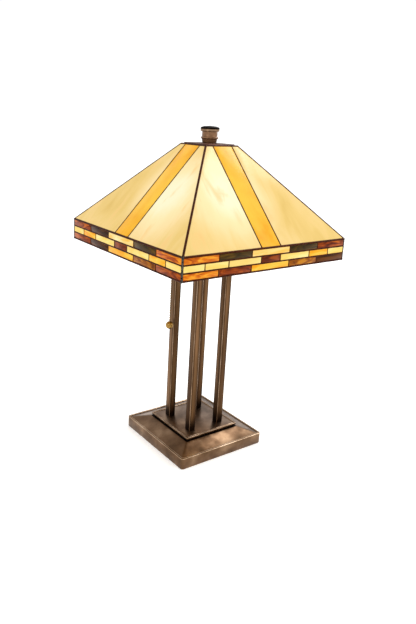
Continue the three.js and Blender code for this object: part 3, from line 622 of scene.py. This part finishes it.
def thread(radius, low, high, pitch, depth):
    """The outline of a screw thread, as (radius, height) points from low to high."""
    turns = int((high - low) / pitch)
    points = []
    for i in range(turns):
        points += [(radius - depth, low + i * pitch), (radius, low + (i + 0.5) * pitch)]
    return points + [(radius - depth, low + turns * pitch), (radius - depth, high)]


# ------------------------------------------------------------------ sizes a user would change


class LampBase(bpy.types.PropertyGroup):
    lip: bpy.props.FloatProperty(
        name="Lip", description="Width of the flat land round the casting's top",
        default=3.0 * MM, unit="LENGTH",
    )
    step: bpy.props.FloatProperty(
        name="Step", description="Drop from the land to the foot of the slope",
        default=0.9 * MM, unit="LENGTH",
    )
    rise: bpy.props.FloatProperty(
        name="Rise", description="From the foot of the slope to the casting's flat top",
        default=10.6 * MM, unit="LENGTH",
    )
    corner: bpy.props.FloatProperty(
        name="Corner", description="Radius of the casting's upright corners",
        default=3.0 * MM, unit="LENGTH",
    )
    # The rubbed edges also carry a painted highlight
    arris: bpy.props.FloatProperty(
        name="Arris", description="Width of the rubbed edges",
        default=0.9 * MM, unit="LENGTH",
    )


class LampShade(bpy.types.PropertyGroup):
    glass: bpy.props.FloatProperty(
        name="Glass", description="Thickness of the glass", default=3.0 * MM, unit="LENGTH",
    )
    line: bpy.props.FloatProperty(
        name="Line", description="Width of a flat solder line", default=3.0 * MM, unit="LENGTH",
    )
    tile_line: bpy.props.FloatProperty(
        name="Tile line", description="Width of the solder between two tiles of a row",
        default=2.5 * MM, unit="LENGTH",
    )
    strip: bpy.props.FloatProperty(
        name="Strip", description="Width of the amber strip between its lines",
        default=42.0 * MM, unit="LENGTH",
    )
    patch_height: bpy.props.FloatProperty(
        name="Bright patch height", description="Height of the brightest glass above the table",
        default=491.0 * MM, unit="LENGTH",
    )
    patch_aside: bpy.props.FloatProperty(
        name="Bright patch aside", description="Brightest glass from the middle of its side",
        default=42.0 * MM, unit="LENGTH",
    )


class LampChain(bpy.types.PropertyGroup):
    bead: bpy.props.FloatProperty(
        name="Bead", description="Radius of a chain bead", default=1.4 * MM, unit="LENGTH",
    )
    pitch: bpy.props.FloatProperty(
        name="Pitch", description="From one bead to the next", default=4.6 * MM, unit="LENGTH",
    )


class LampStage(bpy.types.PropertyGroup):
    floor: bpy.props.FloatVectorProperty(
        name="Floor", description="Colour of the floor", subtype="COLOR", size=3,
        default=linear("#FCFCFC"),
    )
    world: bpy.props.FloatProperty(
        name="Surround", description="Brightness of the white surround", default=1.04,
    )
    table: bpy.props.FloatProperty(
        name="Light table", description="Brightness of the floor's own light", default=0.25,
    )
    key: bpy.props.FloatProperty(
        name="Key light", description="Power of the key light", default=9.0, unit="POWER",
    )


GROUPS = (LampBase, LampShade, LampChain, LampStage)


# ------------------------------------------------------------------ operators


# The camera's lens, and its place in metres and turns in degrees. Its heading is from +Y towards
# +X, and a tilt below zero looks down.
SENSOR, LENS, SHIFT = 36.0, 34.91, (0.0630, -0.0766)
EYE, HEADING, TILT, ROLL = (-0.6834, -0.8621, 0.6174), 35.14, -13.81, 2.53

# The area lights: name, place, size and power as a share of the key light's
LIGHTS = (
    ("key", (0.9, -1.3, 1.3), 0.9, 1),
    ("fill", (-1.4, -0.5, 0.9), 0.7, 1 / 3),
    ("sheen", (1.0, 0.49, 1.57), 0.9, 1.3),
)
AIM = Vector((0, 0, 0.25))  # where the lights point
FLOOR_HALF = 60.0  # so wide that its edge is never seen


class LAMP_OT_camera(bpy.types.Operator):
    """Places the camera"""

    bl_idname = "lamp.camera"
    bl_label = "Camera"

    def execute(self, context):
        data = bpy.data.cameras.new("camera")
        data.sensor_width, data.lens = SENSOR, LENS
        data.shift_x, data.shift_y = SHIFT
        data.clip_end = 50.0
        made = bpy.data.objects.new("camera", data)
        context.scene.collection.objects.link(made)
        heading = Matrix.Rotation(-math.radians(HEADING), 4, "Z")
        tilt = Matrix.Rotation(math.pi / 2 + math.radians(TILT), 4, "X")
        roll = Matrix.Rotation(math.radians(ROLL), 4, "Z")
        made.matrix_world = Matrix.Translation(EYE) @ heading @ tilt @ roll
        context.scene.camera = made
        return {"FINISHED"}


class LAMP_OT_stage(bpy.types.Operator):
    """Makes the floor, the white surround and the studio lights"""

    bl_idname = "lamp.stage"
    bl_label = "Stage"

    def execute(self, context):
        stage = context.scene.lamp_stage
        world = bpy.data.worlds.new("white_surround")
        world.use_nodes = True
        background = world.node_tree.nodes["Background"]
        background.inputs["Color"].default_value = (1, 1, 1, 1)
        background.inputs["Strength"].default_value = stage.world
        context.scene.world = world
        mesh = bmesh.new()
        bmesh.ops.create_grid(mesh, x_segments=1, y_segments=1, size=FLOOR_HALF)
        data = bpy.data.meshes.new("floor")
        mesh.to_mesh(data)
        mesh.free()
        material = bpy.data.materials.new("matt_white_paper")
        material.use_nodes = True
        shader = material.node_tree.nodes["Principled BSDF"]
        shader.inputs["Base Color"].default_value = (*stage.floor, 1)
        shader.inputs["Roughness"].default_value = 0.9
        # Lit a little from below, as a light table is, so that the shadow stays faint
        shader.inputs["Emission Color"].default_value = (1, 1, 1, 1)
        shader.inputs["Emission Strength"].default_value = stage.table
        data.materials.append(material)
        floor = bpy.data.objects.new("floor", data)
        context.scene.collection.objects.link(floor)
        for name, place, size, share in LIGHTS:
            self.light(context, name, place, size, stage.key * share)
        context.scene.view_settings.view_transform = "Standard"
        context.scene.cycles.use_denoising = True
        return {"FINISHED"}

    def light(self, context, name, place, size, power):
        data = bpy.data.lights.new(name, "AREA")
        data.size, data.energy = size, power
        made = bpy.data.objects.new(name, data)
        made.location = place
        made.rotation_euler = (AIM - Vector(place)).to_track_quat("-Z", "Y").to_euler()
        context.scene.collection.objects.link(made)


class LAMP_OT_base(bpy.types.Operator):
    """Makes the base casting and the plate on it, with rubbed edges that carry a painted highlight,
    and painted shade in the grooves and under the plate
    """

    bl_idname = "lamp.base"
    bl_label = "Base casting and plate"

    def execute(self, context):
        sizes = context.scene.lamp_base
        low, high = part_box("base_casting")
        plate_low, plate_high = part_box("base_plate")
        side, top = high.x, high.z
        foot = top - sizes.rise
        edge = foot + sizes.step
        neck = plate_high.x - 4.8 * MM
        wall = 3.2 * MM
        groove = 1.2 * MM
        inner = side - sizes.lip
        shade_line = plate_high.x + 1.2 * MM  # painted shadow under the plate, inside this line
        shade_height = top - sizes.rise * (shade_line - neck) / (inner - groove - neck)
        # Finish 2 is painted shade in the groove at the foot of the slope and under the plate;
        # finish 1 on the softened edges is rubbed wear with a painted highlight
        casting = square_body([
            (neck, top - wall, 0), (side - wall, foot - wall, 0), (side - wall, low.z, 0),
            (side, low.z, 0), (side, edge, 0), (inner, edge, 0), (inner, foot - groove, 2),
            (inner - groove, foot - groove, 2), (inner - groove, foot, 2),
            (shade_line, shade_height, 0), (neck, top, 2),
        ], sizes.corner)
        soften(casting, sizes.arris, finish=1, angle=50)
        made = stand_for("base_casting", casting, ("cast", "arris", "groove"))
        bushing_low, bushing_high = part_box("cord_bushing")
        height = (bushing_low.z + bushing_high.z) / 2
        bore, depth = 5.6 * MM, 30 * MM
        drill = round_body([(0, 0), (bore, 0), (bore, depth), (0, depth)], 32)
        turn = Matrix.Rotation(-math.pi / 2, 4, "X")
        hole(made, moved(drill, Matrix.Translation((0, side - depth / 2, height)) @ turn))
        land = plate_high.x - 2.6 * MM
        field = plate_high.z - 0.6 * MM
        undercut, lift = plate_high.x - 0.8 * MM, plate_low.z + 2 * MM
        # Finish 2 is painted shade under the plate's rim and in the groove round its field; finish
        # 1 on the softened edges is rubbed wear with a painted highlight
        plate = square_body([
            (undercut, plate_low.z, 0), (undercut, lift, 2),
            (plate_high.x, lift, 2), (plate_high.x, plate_high.z, 0),
            (land, plate_high.z, 0), (land, field - groove / 2, 2),
            (land - groove, field - groove / 2, 2), (land - groove, field, 2),
        ], 1.2 * MM)
        soften(plate, sizes.arris, finish=1, angle=50)
        stand_for("base_plate", plate, ("cast", "arris", "groove"))
        return {"FINISHED"}


class LAMP_OT_underside(bpy.types.Operator):
    """Makes the felt pad, the ballast weight and the cord bushing"""

    bl_idname = "lamp.underside"
    bl_label = "Felt, ballast and bushing"

    def execute(self, context):
        low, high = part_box("felt_pad")
        felt = square_body([(high.x, low.z, 0), (high.x, high.z, 0)], 2 * MM)
        stand_for("felt_pad", soften(felt, 0.6 * MM), ("felt",))
        low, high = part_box("ballast_weight")
        eye = 12 * MM
        ring = [(high.x, low.z, 0), (high.x, high.z, 0), (eye, high.z, 0), (eye, low.z, 0)]
        ballast = square_body(ring, 8 * MM, closed=True)
        stand_for("ballast_weight", soften(ballast, 1 * MM), ("iron",))
        low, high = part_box("cord_bushing")
        length = high.y - low.y
        radius, bore, barrel, flange = high.x, 3.6 * MM, 5.2 * MM, 1.6 * MM
        outline = [
            (bore, 0), (barrel, 0), (barrel, length - flange), (radius, length - flange),
            (radius, length - 0.8 * MM), (radius - 0.8 * MM, length), (bore, length),
        ]
        place = Matrix.Translation((0, low.y, (low.z + high.z) / 2))
        turn = Matrix.Rotation(-math.pi / 2, 4, "X")
        bushing = moved(round_body(outline, 40, closed=True), place @ turn)
        stand_for("cord_bushing", soften(bushing, 0.25 * MM), ("resin",))
        return {"FINISHED"}


class LAMP_OT_columns(bpy.types.Operator):
    """Makes the four square tubes, and the threaded pipes and nuts inside them"""

    bl_idname = "lamp.columns"
    bl_label = "Columns and tie pipes"

    def execute(self, context):
        for corner in CORNERS:
            low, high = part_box("column_" + corner)
            centre = (low + high) / 2
            half = (high.x - low.x) / 2
            bore = half - 1 * MM
            tube = square_body([
                (half, low.z, 0), (half, high.z, 0), (bore, high.z, 0), (bore, low.z, 0),
            ], 1.5 * MM, closed=True)
            # Only the middle facets of the rounded corners are rubbed, and carry a painted
            # highlight
            for face in tube.faces:
                square_on = max(abs(face.normal.x), abs(face.normal.y), abs(face.normal.z))
                face.material_index = int(square_on < 0.9)
            place = Matrix.Translation((centre.x, centre.y, 0))
            stand_for("column_" + corner, moved(tube, place), ("column", "edge"))
            threaded_pipe("tie_pipe_" + corner)
            hexagon_nut("foot_nut_" + corner)
        return {"FINISHED"}


def threaded_pipe(node):
    """Steel lamp pipe with 1 mm threads at both ends."""
    low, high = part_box(node)
    centre = (low + high) / 2
    radius = (high.x - low.x) / 2
    bore = radius - 1.7 * MM
    run = min(22 * MM, (high.z - low.z) / 3)
    pitch, depth = 1 * MM, 0.45 * MM
    outline = [(bore, low.z)] + thread(radius, low.z, low.z + run, pitch, depth)
    outline += [(radius, low.z + run + GAP), (radius, high.z - run - GAP)]
    outline += thread(radius, high.z - run, high.z, pitch, depth) + [(bore, high.z)]
    pipe = moved(round_body(outline, 24, closed=True), Matrix.Translation((centre.x, centre.y, 0)))
    stand_for(node, pipe, ("steel",))


def hexagon_nut(node):
    """Chamfered hexagon nut."""
    low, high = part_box(node)
    centre = (low + high) / 2
    reach = (high.x - low.x) / 2
    bore = reach - 3.3 * MM
    outline = [(bore, low.z), (reach, low.z), (reach, high.z), (bore, high.z)]
    nut = soften(round_body(outline, 6, closed=True), 0.5 * MM)
    stand_for(node, moved(nut, Matrix.Translation((centre.x, centre.y, 0))), ("steel",))


class LAMP_OT_head(bpy.types.Operator):
    """Makes the head plate, the centre stem and its nuts"""

    bl_idname = "lamp.head"
    bl_label = "Head plate and stem"

    def execute(self, context):
        low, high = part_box("head_plate")
        head = square_body([(high.x, low.z, 0), (high.x, high.z, 0)], 5 * MM)
        stand_for("head_plate", soften(head, 0.7 * MM, finish=1), ("cast", "arris"))
        threaded_pipe("centre_stem")
        for node in ("stem_lower_nut", "cluster_lock_nut", "shade_seat_nut"):
            hexagon_nut(node)
        return {"FINISHED"}


class LAMP_OT_cluster(bpy.types.Operator):
    """Makes the cluster body and its two sockets"""

    bl_idname = "lamp.cluster"
    bl_label = "Cluster and sockets"

    def execute(self, context):
        low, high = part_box("cluster_body")
        drum, wall, rim, boss, bore = 24 * MM, 3 * MM, high.x, 11 * MM, STEM_HOLE
        shoulder = low.z + 20 * MM
        body = round_body([
            (bore, shoulder - wall), (drum - wall, shoulder - wall), (drum - wall, low.z),
            (drum, low.z), (drum, low.z + 3 * MM), (drum - 0.6 * MM, low.z + 4 * MM),
            (drum, low.z + 5 * MM), (drum, shoulder), (rim, shoulder),
            (rim, shoulder + 2 * MM), (boss, high.z - 5 * MM), (boss, high.z), (bore, high.z),
        ], 64, closed=True)
        soften(body, 0.5 * MM, finish=1, angle=40)
        stand_for("cluster_body", body, ("cast", "arris"))
        for letter in ("a", "b"):
            self.socket(letter)
        return {"FINISHED"}

    def socket(self, letter):
        radius, length, bore = 16 * MM, 36 * MM, 13.8 * MM
        outline = [
            (0, -5 * MM), (4.9 * MM, -5 * MM), (4.9 * MM, GAP), (radius - 2.5 * MM, GAP),
            (radius - 0.8 * MM, 3 * MM), (radius, 5 * MM), (radius, 12 * MM),
            (radius - 0.6 * MM, 12.6 * MM), (radius, 13.2 * MM), (radius, length - 3 * MM),
            (radius - 0.5 * MM, length - 2 * MM), (radius, length - 1 * MM),
            (radius - 0.5 * MM, length), (bore, length), (bore, 7 * MM), (0, 7 * MM),
        ]
        made = moved(round_body(outline, 48), bulb_frame(letter))
        stand_for("socket_" + letter, soften(made, 0.25 * MM), ("shell",))


class LAMP_OT_bulbs(bpy.types.Operator):
    """Makes the two lit bulbs with their screw caps"""

    bl_idname = "lamp.bulbs"
    bl_label = "Bulbs"

    def execute(self, context):
        seat = 7.3 * MM
        cap, radius, length, straight = 13 * MM, 24 * MM, 86 * MM, 28.7 * MM
        cap_height = 24 * MM
        equator = length - radius
        for letter in ("a", "b"):
            outline = [(0, 0), (4 * MM, 0), (4 * MM, 2 * MM), (cap - 2 * MM, 4 * MM)]
            outline += thread(cap, 5 * MM, 23 * MM, 3.6 * MM, 0.9 * MM)
            outline.append((cap, straight))
            for i in range(1, 13):
                share = i / 12
                swell = share * share * (3 - 2 * share)
                height = straight + (equator - straight) * share
                outline.append((cap + (radius - cap) * swell, height))
            for i in range(1, 12):
                angle = i / 12 * math.pi / 2
                outline.append((radius * math.cos(angle), equator + radius * math.sin(angle)))
            outline.append((0, length))
            mesh = round_body(outline, 48)
            for face in mesh.faces:
                face.material_index = int(face.calc_center_median().z < cap_height)
            place = bulb_frame(letter) @ Matrix.Translation((0, 0, seat))
            stand_for("bulb_" + letter, moved(mesh, place), ("bulb", "screw"))
        return {"FINISHED"}


class LAMP_OT_chain(bpy.types.Operator):
    """Makes the pull stub, the bead chain and its ball"""

    bl_idname = "lamp.chain"
    bl_label = "Pull chain"

    def execute(self, context):
        sizes = context.scene.lamp_chain
        low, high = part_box("pull_chain")
        place = Matrix.Translation(((low.x + high.x) / 2, (low.y + high.y) / 2, 0))
        count = int((high.z - low.z) / sizes.pitch)
        pitch = (high.z - low.z) / count
        beads = []
        for i in range(count):
            bead = bmesh.new()
            bmesh.ops.create_icosphere(bead, subdivisions=2, radius=sizes.bead)
            beads.append(moved(bead, Matrix.Translation((0, 0, high.z - (i + 0.5) * pitch))))
        wire = [(0, low.z), (0.45 * MM, low.z), (0.45 * MM, high.z), (0, high.z)]
        chain = moved(together([*beads, round_body(wire, 8)]), place)
        stand_for("pull_chain", chain, ("dull_brass",))
        low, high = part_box("pull_stub")
        stub, coupling = 1.1 * MM, 2.3 * MM
        top = low.z + 6 * MM
        outline = [
            (0, low.z), (coupling - 0.8 * MM, low.z), (coupling, low.z + 0.8 * MM),
            (coupling, top - 1.2 * MM), (stub, top), (stub, high.z), (0, high.z),
        ]
        stub_mesh = soften(moved(round_body(outline, 24), place), 0.2 * MM)
        stand_for("pull_stub", stub_mesh, ("brass",))
        low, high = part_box("pull_ball")
        radius = (high.z - low.z) / 2
        collar, shoulder = 2.4 * MM, high.z - 0.5 * MM
        outline = [(0, low.z)]
        for i in range(1, 24):
            angle = -math.pi / 2 + i / 24 * math.pi
            outline.append((radius * math.cos(angle), low.z + radius + radius * math.sin(angle)))
        outline = [point for point in outline if point[1] < shoulder or point[0] > collar]
        outline += [(collar, shoulder), (collar, high.z), (0, high.z)]
        stand_for("pull_ball", moved(round_body(outline, 40), place), ("brass",))
        return {"FINISHED"}


class LAMP_OT_lattice(bpy.types.Operator):
    """Makes the solder: ribs along the folds, flat lines, tile joints and the top flange"""

    bl_idname = "lamp.lattice"
    bl_label = "Solder lattice"

    def execute(self, context):
        draw = random.Random(4)
        parts, corners = [], []
        for side in SIDES:
            turn = side_turn(side)
            parts += [moved(rib, turn) for rib in self.ribs(draw)]
            parts += self.lines(context, side, draw)
            corners.append(moved(self.corner_bead(draw), turn))
        top = ROOF_TOP + RIB / 2
        low, inner = top - 2 * MM, ROOF_HALF - 12 * MM
        flange = [(ROOF_HALF, low, 0), (ROOF_HALF, top, 0), (inner, top, 0), (inner, low, 0)]
        parts.append(square_body(flange, 0.8 * MM, closed=True))
        for bead in corners:
            for face in bead.faces:
                face.material_index = 1
        lattice = together(parts + corners)
        stand_for("solder_lattice", lattice, ("solder", "beaded"))
        return {"FINISHED"}

    def ribs(self, draw):
        rows = [
            ((-EAVE_HALF, -EAVE_HALF, EAVE), (EAVE_HALF, -EAVE_HALF, EAVE)),
            ((-EAVE_HALF, -EAVE_HALF, RIM), (EAVE_HALF, -EAVE_HALF, RIM)),
            ((-ROOF_HALF, -ROOF_HALF, ROOF_TOP), (ROOF_HALF, -ROOF_HALF, ROOF_TOP)),
            ((EAVE_HALF, -EAVE_HALF, EAVE), (ROOF_HALF, -ROOF_HALF, ROOF_TOP)),
        ]
        return [wobbly_bar(start, end, RIB, 7 * MM, 0.1, draw) for start, end in rows]

    def corner_bead(self, draw):
        """The beaded bead of solder down one corner of the apron, ended by two knots."""
        place = (EAVE_HALF, -EAVE_HALF)
        bead = wobbly_bar((*place, RIM), (*place, EAVE), RIB, 1.6 * MM, 0.22, draw, 12)
        knots = [bead]
        for height in (RIM, EAVE):
            knot = bmesh.new()
            bmesh.ops.create_icosphere(knot, subdivisions=3, radius=KNOT)
            knots.append(moved(knot, Matrix.Translation((*place, height))))
        return together(knots)

    def lines(self, context, side, draw):
        """A side's flat lines: two beside the strip, two between the rows, and the tile joints."""
        shade = context.scene.lamp_shade
        made = []
        edge = shade.strip / 2
        for hand in (-1, 1):
            line = self.flat_line(ROOF_LENGTH, shade.line, draw)
            lie = Matrix.Translation((hand * edge, 0, 0))
            made.append(moved(line, side_frame(side, ROOF_PITCH) @ lie))
        for row in (1, 2):
            line = self.flat_line(2 * EAVE_HALF, shade.line, draw)
            lie = Matrix.Translation((EAVE_HALF, -row * ROW_PITCH, 0))
            lie = lie @ Matrix.Rotation(math.pi / 2, 4, "Z")
            made.append(moved(line, side_frame(side, UPRIGHT) @ lie))
        for row in range(len(LEVELS)):
            for aside in tile_joints(row):
                line = self.flat_line(ROW_PITCH, shade.tile_line, draw)
                lie = Matrix.Translation((aside, -(row + 1) * ROW_PITCH, 0))
                made.append(moved(line, side_frame(side, UPRIGHT) @ lie))
        return made

    def flat_line(self, length, width, draw):
        """A crowned line of solder along +Y, 4 mm through the glass, slightly uneven in width."""
        mesh = wobbly_bar((0, 0, 0), (0, length, 0), 0.5, 6 * MM, 0.12, draw, 12)
        # The bar is 1 across: it is brought to the line's width at the glass, and its thickness
        bmesh.ops.scale(mesh, verts=mesh.verts, vec=(width / CROWN, 1, 4 * MM))
        return mesh


def tile_joints(row):
    """Where a row's tiles meet, from the middle of its side."""
    asides = (135, 88.5, 21) if row == 1 else (108, 41.5)
    return sorted(hand * aside * MM for aside in asides for hand in (-1, 1))


def slab(corners, insets, thick, offset):
    """A piece of sheet glass lying in its own plane, its edges moved in, with its sheet map."""
    mesh = bmesh.new()
    points = [Vector(corner) for corner in corners]
    lines = []
    for i, corner in enumerate(points):
        along = (points[(i + 1) % len(points)] - corner).normalized()
        lines.append((corner + Vector((-along.y, along.x)) * insets[i], along))
    verts = []
    for i, (start, along) in enumerate(lines):
        before, before_along = lines[i - 1]
        apart = start - before
        cross = before_along.x * along.y - before_along.y * along.x
        reach = (apart.x * along.y - apart.y * along.x) / cross
        point = before + before_along * reach
        verts.append(mesh.verts.new((point.x, point.y, -thick / 2)))
    face = mesh.faces.new(verts)
    top = bmesh.ops.extrude_face_region(mesh, geom=[face], use_keep_orig=True)
    bmesh.ops.translate(mesh, verts=new_verts(top), vec=(0, 0, thick))
    bmesh.ops.recalc_face_normals(mesh, faces=mesh.faces)
    soften(mesh, 0.5 * MM, angle=40)
    sheet = mesh.loops.layers.uv.new("sheet")
    for face in mesh.faces:
        for loop in face.loops:
            loop[sheet].uv = (loop.vert.co.x + offset[0], loop.vert.co.y + offset[1])
    return mesh


class LAMP_OT_panes(bpy.types.Operator):
    """Makes the roof's cream panes and amber strips"""

    bl_idname = "lamp.panes"
    bl_label = "Roof glass"

    def execute(self, context):
        shade = context.scene.lamp_shade
        draw = random.Random(11)
        edge = shade.strip / 2
        rib, line = RIB - TUCK, shade.line / 2 - TUCK
        right = [(edge, 0), (EAVE_HALF, 0), (ROOF_HALF, ROOF_LENGTH), (edge, ROOF_LENGTH)]
        left = [(-EAVE_HALF, 0), (-edge, 0), (-edge, ROOF_LENGTH), (-ROOF_HALF, ROOF_LENGTH)]
        strip = [(-edge, 0), (edge, 0), (edge, ROOF_LENGTH), (-edge, ROOF_LENGTH)]
        kinds = (
            ("left", left, (rib, line, rib, rib), "pane_cream", "cream_glass"),
            ("strip", strip, (rib, line, rib, line), "pane_amber", "amber_glass"),
            ("right", right, (rib, rib, rib, line), "pane_cream", "cream_glass"),
        )
        for side in SIDES:
            for kind, corners, insets, finish, slot in kinds:
                offset = (draw.random() * 3, draw.random() * 3)
                mesh = slab(corners, insets, shade.glass, offset)
                node = f"pane_{side}_{kind}"
                stand_for(node, moved(mesh, side_frame(side, ROOF_PITCH)), (finish,))
        return {"FINISHED"}


class LAMP_OT_tiles(bpy.types.Operator):
    """Makes the tiles of the apron, three rows to a side"""

    bl_idname = "lamp.tiles"
    bl_label = "Apron tiles"

    def execute(self, context):
        shade = context.scene.lamp_shade
        draw = random.Random(23)
        rib, line, joint_gap = RIB - TUCK, shade.line / 2 - TUCK, shade.tile_line / 2 - TUCK
        end_gap = RIB - TUCK / 2
        for side in SIDES:
            for row, level in enumerate(LEVELS):
                glasses = SIDE_ROWS[side][row]
                edges = [-EAVE_HALF, *tile_joints(row), EAVE_HALF]
                low, high = -(row + 1) * ROW_PITCH, -row * ROW_PITCH
                low_gap, high_gap = (rib if row == 2 else line), (rib if row == 0 else line)
                names = list(dict.fromkeys(glasses))
                tiles = []
                for i, glass in enumerate(glasses):
                    left, right = edges[i], edges[i + 1]
                    corners = [(left, low), (right, low), (right, high), (left, high)]
                    insets = (
                        low_gap, end_gap if i == len(glasses) - 1 else joint_gap,
                        high_gap, end_gap if i == 0 else joint_gap,
                    )
                    offset = (draw.random() * 3, draw.random() * 3)
                    tile = slab(corners, insets, shade.glass, offset)
                    for face in tile.faces:
                        face.material_index = names.index(glass)
                    tiles.append(tile)
                mesh = moved(together(tiles), side_frame(side, UPRIGHT))
                finishes = tuple("tile_" + name for name in names)
                stand_for(f"apron_{side}_{level}", mesh, finishes)
        return {"FINISHED"}


class LAMP_OT_cap(bpy.types.Operator):
    """Makes the shade's sheet cap and the washer under it"""

    bl_idname = "lamp.cap"
    bl_label = "Cap and washer"

    def execute(self, context):
        low, high = CAP_LOW, CAP_HIGH
        sheet = 1.8 * MM
        edge = low.z + 2.2 * MM
        brim = high.x - (edge - CAP_SHOULDER) * ROOF_RUN
        cap = square_body([
            (STEM_HOLE, edge - sheet, 0), (brim - sheet, edge - sheet, 0), (brim - sheet, low.z, 0),
            (brim, low.z, 0), (brim, CAP_SHOULDER, 0), (high.x, CAP_SHOULDER, 0),
            (brim, edge, 0), (11 * MM, high.z, 0), (STEM_HOLE, high.z, 0),
        ], 1 * MM, closed=True)
        stand_for("shade_cap", soften(cap, 0.4 * MM, angle=38), ("cap",))
        low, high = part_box("shade_washer")
        ring = [(STEM_HOLE, low.z), (high.x, low.z), (high.x, high.z), (STEM_HOLE, high.z)]
        washer = soften(round_body(ring, 48, closed=True), 0.4 * MM)
        stand_for("shade_washer", washer, ("steel",))
        return {"FINISHED"}


class LAMP_OT_finial(bpy.types.Operator):
    """Makes the turned finial"""

    bl_idname = "lamp.finial"
    bl_label = "Finial"

    def execute(self, context):
        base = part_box("finial")[0].z
        hole_radius, hole_depth = STEM_HOLE / MM, 14
        crown_shade_from, highlight_band_from = 23.6, 20.4  # heights on the head's side
        outline_mm = [
            (hole_radius, hole_depth), (hole_radius, 0), (12.4, 0), (13.2, 3), (13.8, 6.6),
            (14.9, 7.0), (15.6, 7.8), (15.8, 8.6), (15.6, 9.4), (14.9, 10.2), (13.8, 10.6),
            (13.8, 19.2), (16.0, 19.6), (16.8, 20.4), (16.8, 23.6), (16.8, 25.6), (16.0, 26.8),
            (11.0, 28.5), (0, 29.4),
        ]
        outline = [(0, base + hole_depth * MM)]
        outline += [(radius * MM, base + height * MM) for radius, height in outline_mm]
        mesh = soften(round_body(outline, 64), 0.35 * MM, angle=50)
        # The crown is darkened with painted shade, and the lower part of the head's side carries a
        # painted highlight
        for face in mesh.faces:
            height = (face.calc_center_median().z - base) / MM
            if height > crown_shade_from:
                face.material_index = 1
            elif height > highlight_band_from:
                face.material_index = 2
        stand_for("finial", mesh, ("finial", "groove", "edge"))
        return {"FINISHED"}


class LAMP_OT_switch(bpy.types.Operator):
    """Finishes the pull switch and the chain's guide tube, whose CAD shapes are already right"""

    bl_idname = "lamp.switch"
    bl_label = "Switch and chain guide"

    def execute(self, context):
        for node, finish, slot in (
            ("pull_switch", "resin", "phenolic"),
            ("chain_guide", "brass", "brass"),
        ):
            made = frame["nodes"][node]
            for place in made.material_slots:
                place.material = FINISHES[finish]
            if not made.material_slots:
                made.data.materials.append(FINISHES[finish])
        return {"FINISHED"}


OPERATORS = (
    LAMP_OT_camera, LAMP_OT_stage, LAMP_OT_base, LAMP_OT_underside, LAMP_OT_columns,
    LAMP_OT_head, LAMP_OT_cluster, LAMP_OT_bulbs, LAMP_OT_switch, LAMP_OT_chain,
    LAMP_OT_lattice, LAMP_OT_panes, LAMP_OT_tiles, LAMP_OT_cap, LAMP_OT_finial,
)


class LAMP_PT_panel(bpy.types.Panel):
    """Lists the lamp's sizes and its pieces"""

    bl_idname = "LAMP_PT_panel"
    bl_label = "Table lamp"
    bl_space_type = "VIEW_3D"
    bl_region_type = "UI"
    bl_category = "Lamp"

    def draw(self, context):
        scene = context.scene
        for group in (scene.lamp_base, scene.lamp_shade, scene.lamp_chain, scene.lamp_stage):
            box = self.layout.box()
            for name in group.__annotations__:
                box.prop(group, name)
        for operator in OPERATORS:
            self.layout.operator(operator.bl_idname)


CLASSES = (*GROUPS, *OPERATORS, LAMP_PT_panel)


def register():
    for each in CLASSES:
        bpy.utils.register_class(each)
    bpy.types.Scene.lamp_base = bpy.props.PointerProperty(type=LampBase)
    bpy.types.Scene.lamp_shade = bpy.props.PointerProperty(type=LampShade)
    bpy.types.Scene.lamp_chain = bpy.props.PointerProperty(type=LampChain)
    bpy.types.Scene.lamp_stage = bpy.props.PointerProperty(type=LampStage)


def unregister():
    for name in ("lamp_base", "lamp_shade", "lamp_chain", "lamp_stage"):
        delattr(bpy.types.Scene, name)
    for each in reversed(CLASSES):
        bpy.utils.unregister_class(each)


def main():
    register()
    bpy.ops.lamp.camera()
    make_finishes()
    for operator in OPERATORS[1:]:
        group, name = operator.bl_idname.split(".")
        getattr(getattr(bpy.ops, group), name)()


if __name__ == "__main__":
    main()
